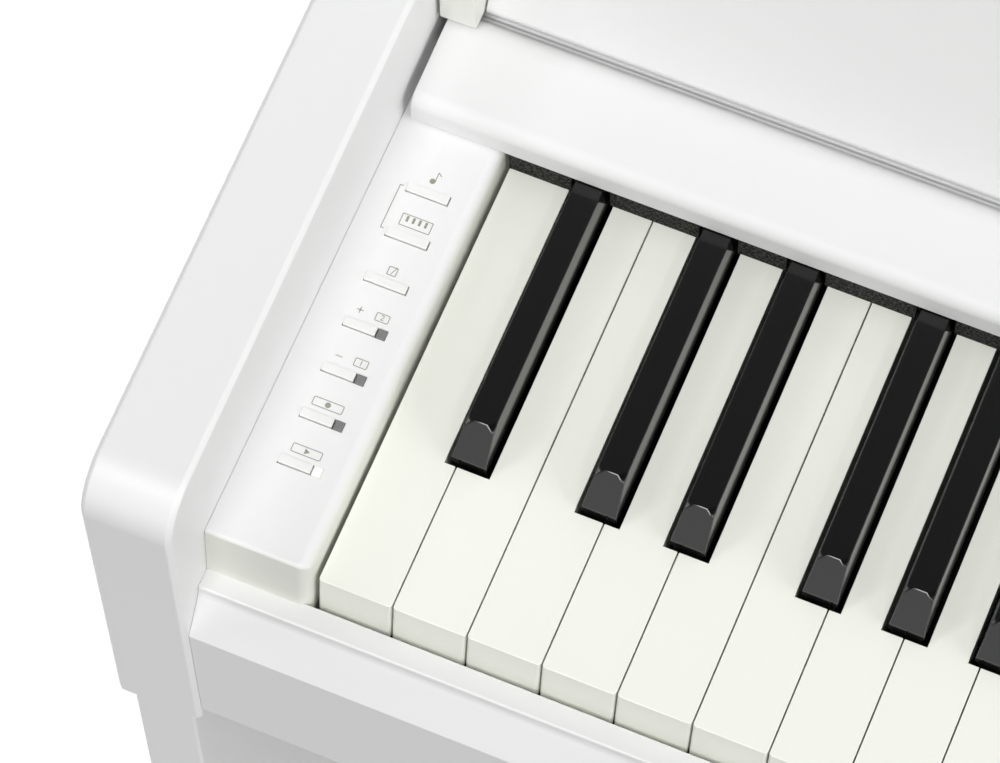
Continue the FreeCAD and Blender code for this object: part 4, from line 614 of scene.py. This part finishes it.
# a metronome's case and its arm, a short keyboard, a note
hoop(legends, -0.0165, 0.0950, 0.0030, 0.0030, 0.0004)
bar(legends, -0.0161, 0.0953, 0.0030, turn=66)
for dx in (-0.003, -0.001, 0.001, 0.003):
    bar(legends, -0.0162 + dx, 0.1128, 0.0020, 0.0008, turn=90)
hoop(legends, -0.0162, 0.1122, 0.0100, 0.0042, 0.0003)
dot(legends, -0.0172, 0.1272, 0.0009)
bar(legends, -0.0164, 0.1288, 0.0034, turn=90)
bar(legends, -0.0158, 0.1301, 0.0016, turn=-38)
# a bracket that joins the last two buttons
bar(legends, -0.0257, 0.11495, 0.0155, turn=90)
for y in (0.1073, 0.1226):
    bar(legends, -0.0252, y, 0.0011)

# on the right block, the power sign and seven ticks beside the slider
POWER_ABOVE = 0.0042
TICK_BESIDE = 0.0072
TICK_PITCH = 0.0047
TICK_SHORTEST = 0.0012
TICK_GROWTH = 0.0003
TICKS = 7
right_end = -keys_end
power_low, power_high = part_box("power_button")
power_y = power_high.y - keys_front + POWER_ABOVE
power_x = (power_low.x + power_high.x) / 2 - right_end
hoop(legends, power_x, power_y, 0.0036, 0.0036, 0.0017, right_end)
bar(legends, power_x, power_y + 0.0013, 0.0022, 0.0005, 90, right_end)
slider_low, slider_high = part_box("volume_slider")
slider_y = (slider_low.y + slider_high.y) / 2 - keys_front
slider_x = (slider_low.x + slider_high.x) / 2 - right_end
for step in range(TICKS):
    bar(legends, slider_x + TICK_BESIDE, slider_y + (step - TICKS // 2) * TICK_PITCH,
        TICK_SHORTEST + TICK_GROWTH * step, INK_LINE, 0, right_end)
piece_of("legends", legends, ink, "root")

# --- Fallboard -----------------------------------------------------------------------------------
# The moulded board behind the keys, with a round nose, a rounded rear edge and a trough behind that
# for the lid's lower edge. A narrow groove runs along the trough.
FALL_EDGE = 0.0004
FALL_BACK_ROUND = 0.0064
FALL_BACK_REACH = 0.0014      # how far back the rear edge is moved
FALL_BACK_CHAMFER = 0.0012    # the small chamfer that the round takes the place of
BACK_STRETCH = 1.4            # the round runs this much further forward than down
GROOVE_AT, GROOVE_WIDE, GROOVE_DEEP = 0.0483, 0.0008, 0.0040
FACING_UP = 0.9

fall_white = finish("fallboard_satin", (229, 229, 229), 0.50, 500.0, 0.00001, 0.04,
                    Specular_IOR_Level=0.2)
fall = merged("fallboard")
fall_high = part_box("fallboard")[1]
trough = max(vert.co.z for vert in fall.verts if vert.co.y > fall_high.y - SAME_PLACE)
back = max(vert.co.y for vert in fall.verts if vert.co.z > trough + SAME_PLACE)


def in_trough(face):
    """True for a face of the trough's floor."""
    return face.normal.z > FACING_UP and abs(face.calc_center_median().z - trough) < SAME_PLACE


for vert in fall.verts:
    if abs(vert.co.y - back) < FALL_BACK_CHAMFER and vert.co.z > trough - SAME_PLACE:
        vert.co.y = back + FALL_BACK_REACH
        if vert.co.z > trough + SAME_PLACE:
            vert.co.z = fall_high.z
bmesh.ops.remove_doubles(fall, verts=fall.verts, dist=SAME_PLACE)
back += FALL_BACK_REACH
ease(fall, FALL_BACK_ROUND, segments=12, where=lambda edge: middle(edge).y > back - SAME_PLACE
     and middle(edge).z > fall_high.z - SAME_PLACE)
for vert in fall.verts:
    if vert.co.y > back - FALL_BACK_ROUND - SAME_PLACE and vert.co.z > trough + SAME_PLACE:
        vert.co.y = back - (back - vert.co.y) * BACK_STRETCH
for cut in (GROOVE_AT, GROOVE_AT + GROOVE_WIDE):
    widest = max(filter(in_trough, fall.faces), key=lambda face: face.calc_area())
    bmesh.ops.bisect_plane(fall, geom=[widest, *widest.edges, *widest.verts],
                           plane_co=(0, cut, 0), plane_no=(0, 1, 0))
strip = min(filter(in_trough, fall.faces),
            key=lambda face: abs(face.calc_center_median().y - GROOVE_AT - GROOVE_WIDE / 2))
groove = bmesh.ops.extrude_face_region(fall, geom=[strip])["geom"]
bmesh.ops.translate(fall, verts=[g for g in groove if isinstance(g, bmesh.types.BMVert)],
                    vec=(0, 0, -GROOVE_DEEP))
bmesh.ops.delete(fall, geom=[strip], context="FACES_ONLY")
ease(fall, FALL_EDGE)
piece_of("fallboard_finished", fall, fall_white, "root", ["fallboard"])

# --- Lid, its hinge covers, pins and flap --------------------------------------------------------
# A long painted board that turns on two pins under moulded covers, with a flap on a piano hinge
# along its far edge. Its lower edge clears the fallboard and the rear top board through its travel.
LID_LEAN = radians(23.0)
LID_ARRIS = 0.0005
LID_REACH = 0.0012            # added to the lower edge
LID_FOOT_BAND = 0.0025        # corners nearer than this to the lower edge belong to it
LID_FOOT_CHAMFER = 0.0021     # the chamfer that the round takes the place of
LID_FOOT_ROUND = 0.0042
COVER_EDGE = 0.0004

cover_white = finish("hinge_cover", (233, 233, 227), 0.45, 1100.0, 0.00003)
eased("lid_hinge_covers", cover_white, "hinge_cover", COVER_EDGE)
eased("lid_hinge_pins", zinc, "steel", ROD_ROUND)
# painted shade: the lid's paint is the boards' white made a shade darker, for the extra light on the
# leaning lid
lid_shaded_paint = finish("lid_shaded_paint", (231, 231, 231), 0.42, 700.0, 0.00003)
lid = merged("lid_panel")
lid_up = Vector((0, sin(LID_LEAN), cos(LID_LEAN)))
lid_out = Vector((0, -cos(LID_LEAN), sin(LID_LEAN)))
foot = min(vert.co.dot(lid_up) for vert in lid.verts)
face_at = max(vert.co.dot(lid_out) for vert in lid.verts)
for vert in lid.verts:
    rise, depth = vert.co.dot(lid_up) - foot, face_at - vert.co.dot(lid_out)
    if rise < LID_FOOT_BAND:
        vert.co -= lid_up * LID_REACH
        if depth < LID_FOOT_CHAMFER:
            vert.co += lid_out * depth - lid_up * rise
foot -= LID_REACH
bmesh.ops.remove_doubles(lid, verts=lid.verts, dist=SAME_PLACE)
ease(lid, LID_FOOT_ROUND, segments=8, where=lambda edge: middle(edge).dot(lid_up) < foot + SAME_PLACE
     and middle(edge).dot(lid_out) > face_at - SAME_PLACE)
ease(lid, LID_ARRIS)
piece_of("lid_panel_finished", lid, lid_shaded_paint, "lid", ["lid_panel"])
eased("lid_flap", painted_board, "painted_board", LID_ARRIS, "flap")
refinish("flap_hinge_leaf", zinc)
refinish("flap_hinge_rod", zinc)

# --- Floor, light and camera ---------------------------------------------------------------------
# A plain white floor, a faint even sky and six lamps: the main one high in front, one low on the
# right, one high on the left, two small ones that light the black keys' corners, and one behind.
# Polished faces see a sky that darkens toward the zenith. The camera looks down on the bass end of
# the keys from high in front.
SKY = 0.15
GLOSS_HORIZON, GLOSS_ZENITH = 2.70, 0.04
# each lamp's name, the way to it, its power and how wide it looks in degrees
LAMPS = (("front_lamp", (0.0, -0.52, 0.85), 0.642 * pi, 26.0),
         ("right_lamp", (0.93, -0.15, 0.25), 0.41 * pi, 40.0),
         ("left_lamp", (-0.62, 0.0, 0.78), 0.08 * pi, 18.0),
         ("left_rim", (-0.70, -0.21, 0.66), 0.06 * pi, 7.0),
         ("right_rim", (0.46, -0.28, 0.84), 0.06 * pi, 7.0),
         ("back_lamp", (0.0, 0.99, 0.10), 0.45 * pi, 30.0))
FLOOR_SIDE = 30.0
FLOOR_SHADE = (0.20, 0.20, 0.20, 1)
FLOOR_GLOW = 0.86             # what brings the floor that is seen to white
SENSOR = 36.0
FAR_END = 60.0
EYE = Vector((-0.35744, -0.58775, 2.03581))
AIM = Vector((-0.58870, -0.05370, 0.72280))
ROLL = -0.80661
LENS = 173.32

floor_shape = bmesh.new()
bmesh.ops.create_grid(floor_shape, x_segments=1, y_segments=1, size=FLOOR_SIDE / 2)
floor_mesh = bpy.data.meshes.new("floor")
floor_shape.to_mesh(floor_mesh)
floor_shape.free()
floor = bpy.data.objects.new("floor", floor_mesh)
bpy.context.scene.collection.objects.link(floor)
floor_white = bpy.data.materials.new("floor_white")
floor_white.use_nodes = True
nodes, links = floor_white.node_tree.nodes, floor_white.node_tree.links
floor_shader = nodes["Principled BSDF"]
floor_shader.inputs["Roughness"].default_value = 0.9
floor_shader.inputs["Specular IOR Level"].default_value = 0.0
floor_shader.inputs["Base Color"].default_value = FLOOR_SHADE
seen_floor = nodes.new("ShaderNodeBsdfDiffuse")
seen_floor.inputs["Color"].default_value = FLOOR_SHADE
glow = nodes.new("ShaderNodeEmission")
glow.inputs["Strength"].default_value = FLOOR_GLOW
both = nodes.new("ShaderNodeAddShader")
paths = nodes.new("ShaderNodeLightPath")
direct = nodes.new("ShaderNodeMath")
direct.operation = "MAXIMUM"
mix = nodes.new("ShaderNodeMixShader")
links.new(seen_floor.outputs[0], both.inputs[0])
links.new(glow.outputs[0], both.inputs[1])
links.new(paths.outputs["Is Camera Ray"], direct.inputs[0])
links.new(paths.outputs["Is Glossy Ray"], direct.inputs[1])
links.new(direct.outputs[0], mix.inputs["Fac"])
links.new(floor_shader.outputs[0], mix.inputs[1])
links.new(both.outputs[0], mix.inputs[2])
links.new(mix.outputs[0], nodes["Material Output"].inputs["Surface"])
floor_mesh.materials.append(floor_white)

world = bpy.data.worlds.new("studio")
bpy.context.scene.world = world
world.use_nodes = True
nodes, links = world.node_tree.nodes, world.node_tree.links
sky = nodes["Background"]
sky.inputs["Color"].default_value = (1, 1, 1, 1)
paths = nodes.new("ShaderNodeLightPath")
seen = nodes.new("ShaderNodeMath")
seen.operation = "MAXIMUM"
level = nodes.new("ShaderNodeMapRange")
level.inputs["To Min"].default_value = SKY
level.inputs["To Max"].default_value = 1.0
way = nodes.new("ShaderNodeTexCoord")
height = nodes.new("ShaderNodeSeparateXYZ")
gloss_level = nodes.new("ShaderNodeMapRange")
gloss_level.inputs["To Min"].default_value = GLOSS_HORIZON
gloss_level.inputs["To Max"].default_value = GLOSS_ZENITH
choice = nodes.new("ShaderNodeMix")
links.new(paths.outputs["Is Camera Ray"], seen.inputs[0])
links.new(paths.outputs["Is Transmission Ray"], seen.inputs[1])
links.new(seen.outputs[0], level.inputs["Value"])
links.new(way.outputs["Generated"], height.inputs[0])
links.new(height.outputs["Z"], gloss_level.inputs["Value"])
links.new(paths.outputs["Is Glossy Ray"], choice.inputs["Factor"])
links.new(level.outputs["Result"], choice.inputs["A"])
links.new(gloss_level.outputs["Result"], choice.inputs["B"])
links.new(choice.outputs["Result"], sky.inputs["Strength"])

for name, lamp_from, power, angle in LAMPS:
    lamp_data = bpy.data.lights.new(name, "SUN")
    lamp_data.energy = power
    lamp_data.angle = radians(angle)
    lamp = bpy.data.objects.new(name, lamp_data)
    bpy.context.scene.collection.objects.link(lamp)
    lamp.rotation_mode = "QUATERNION"
    lamp.rotation_quaternion = Vector(lamp_from).to_track_quat("Z", "Y")

camera_data = bpy.data.cameras.new("camera")
camera_data.lens = LENS
camera_data.sensor_width = SENSOR
camera_data.clip_end = FAR_END
camera = bpy.data.objects.new("camera", camera_data)
bpy.context.scene.collection.objects.link(camera)
camera.location = EYE
camera.rotation_mode = "QUATERNION"
camera.rotation_quaternion = ((AIM - EYE).to_track_quat("-Z", "Y")
                              @ Quaternion((0, 0, 1), radians(ROLL)))
bpy.context.scene.camera = camera
bpy.context.scene.view_settings.view_transform = "Standard"
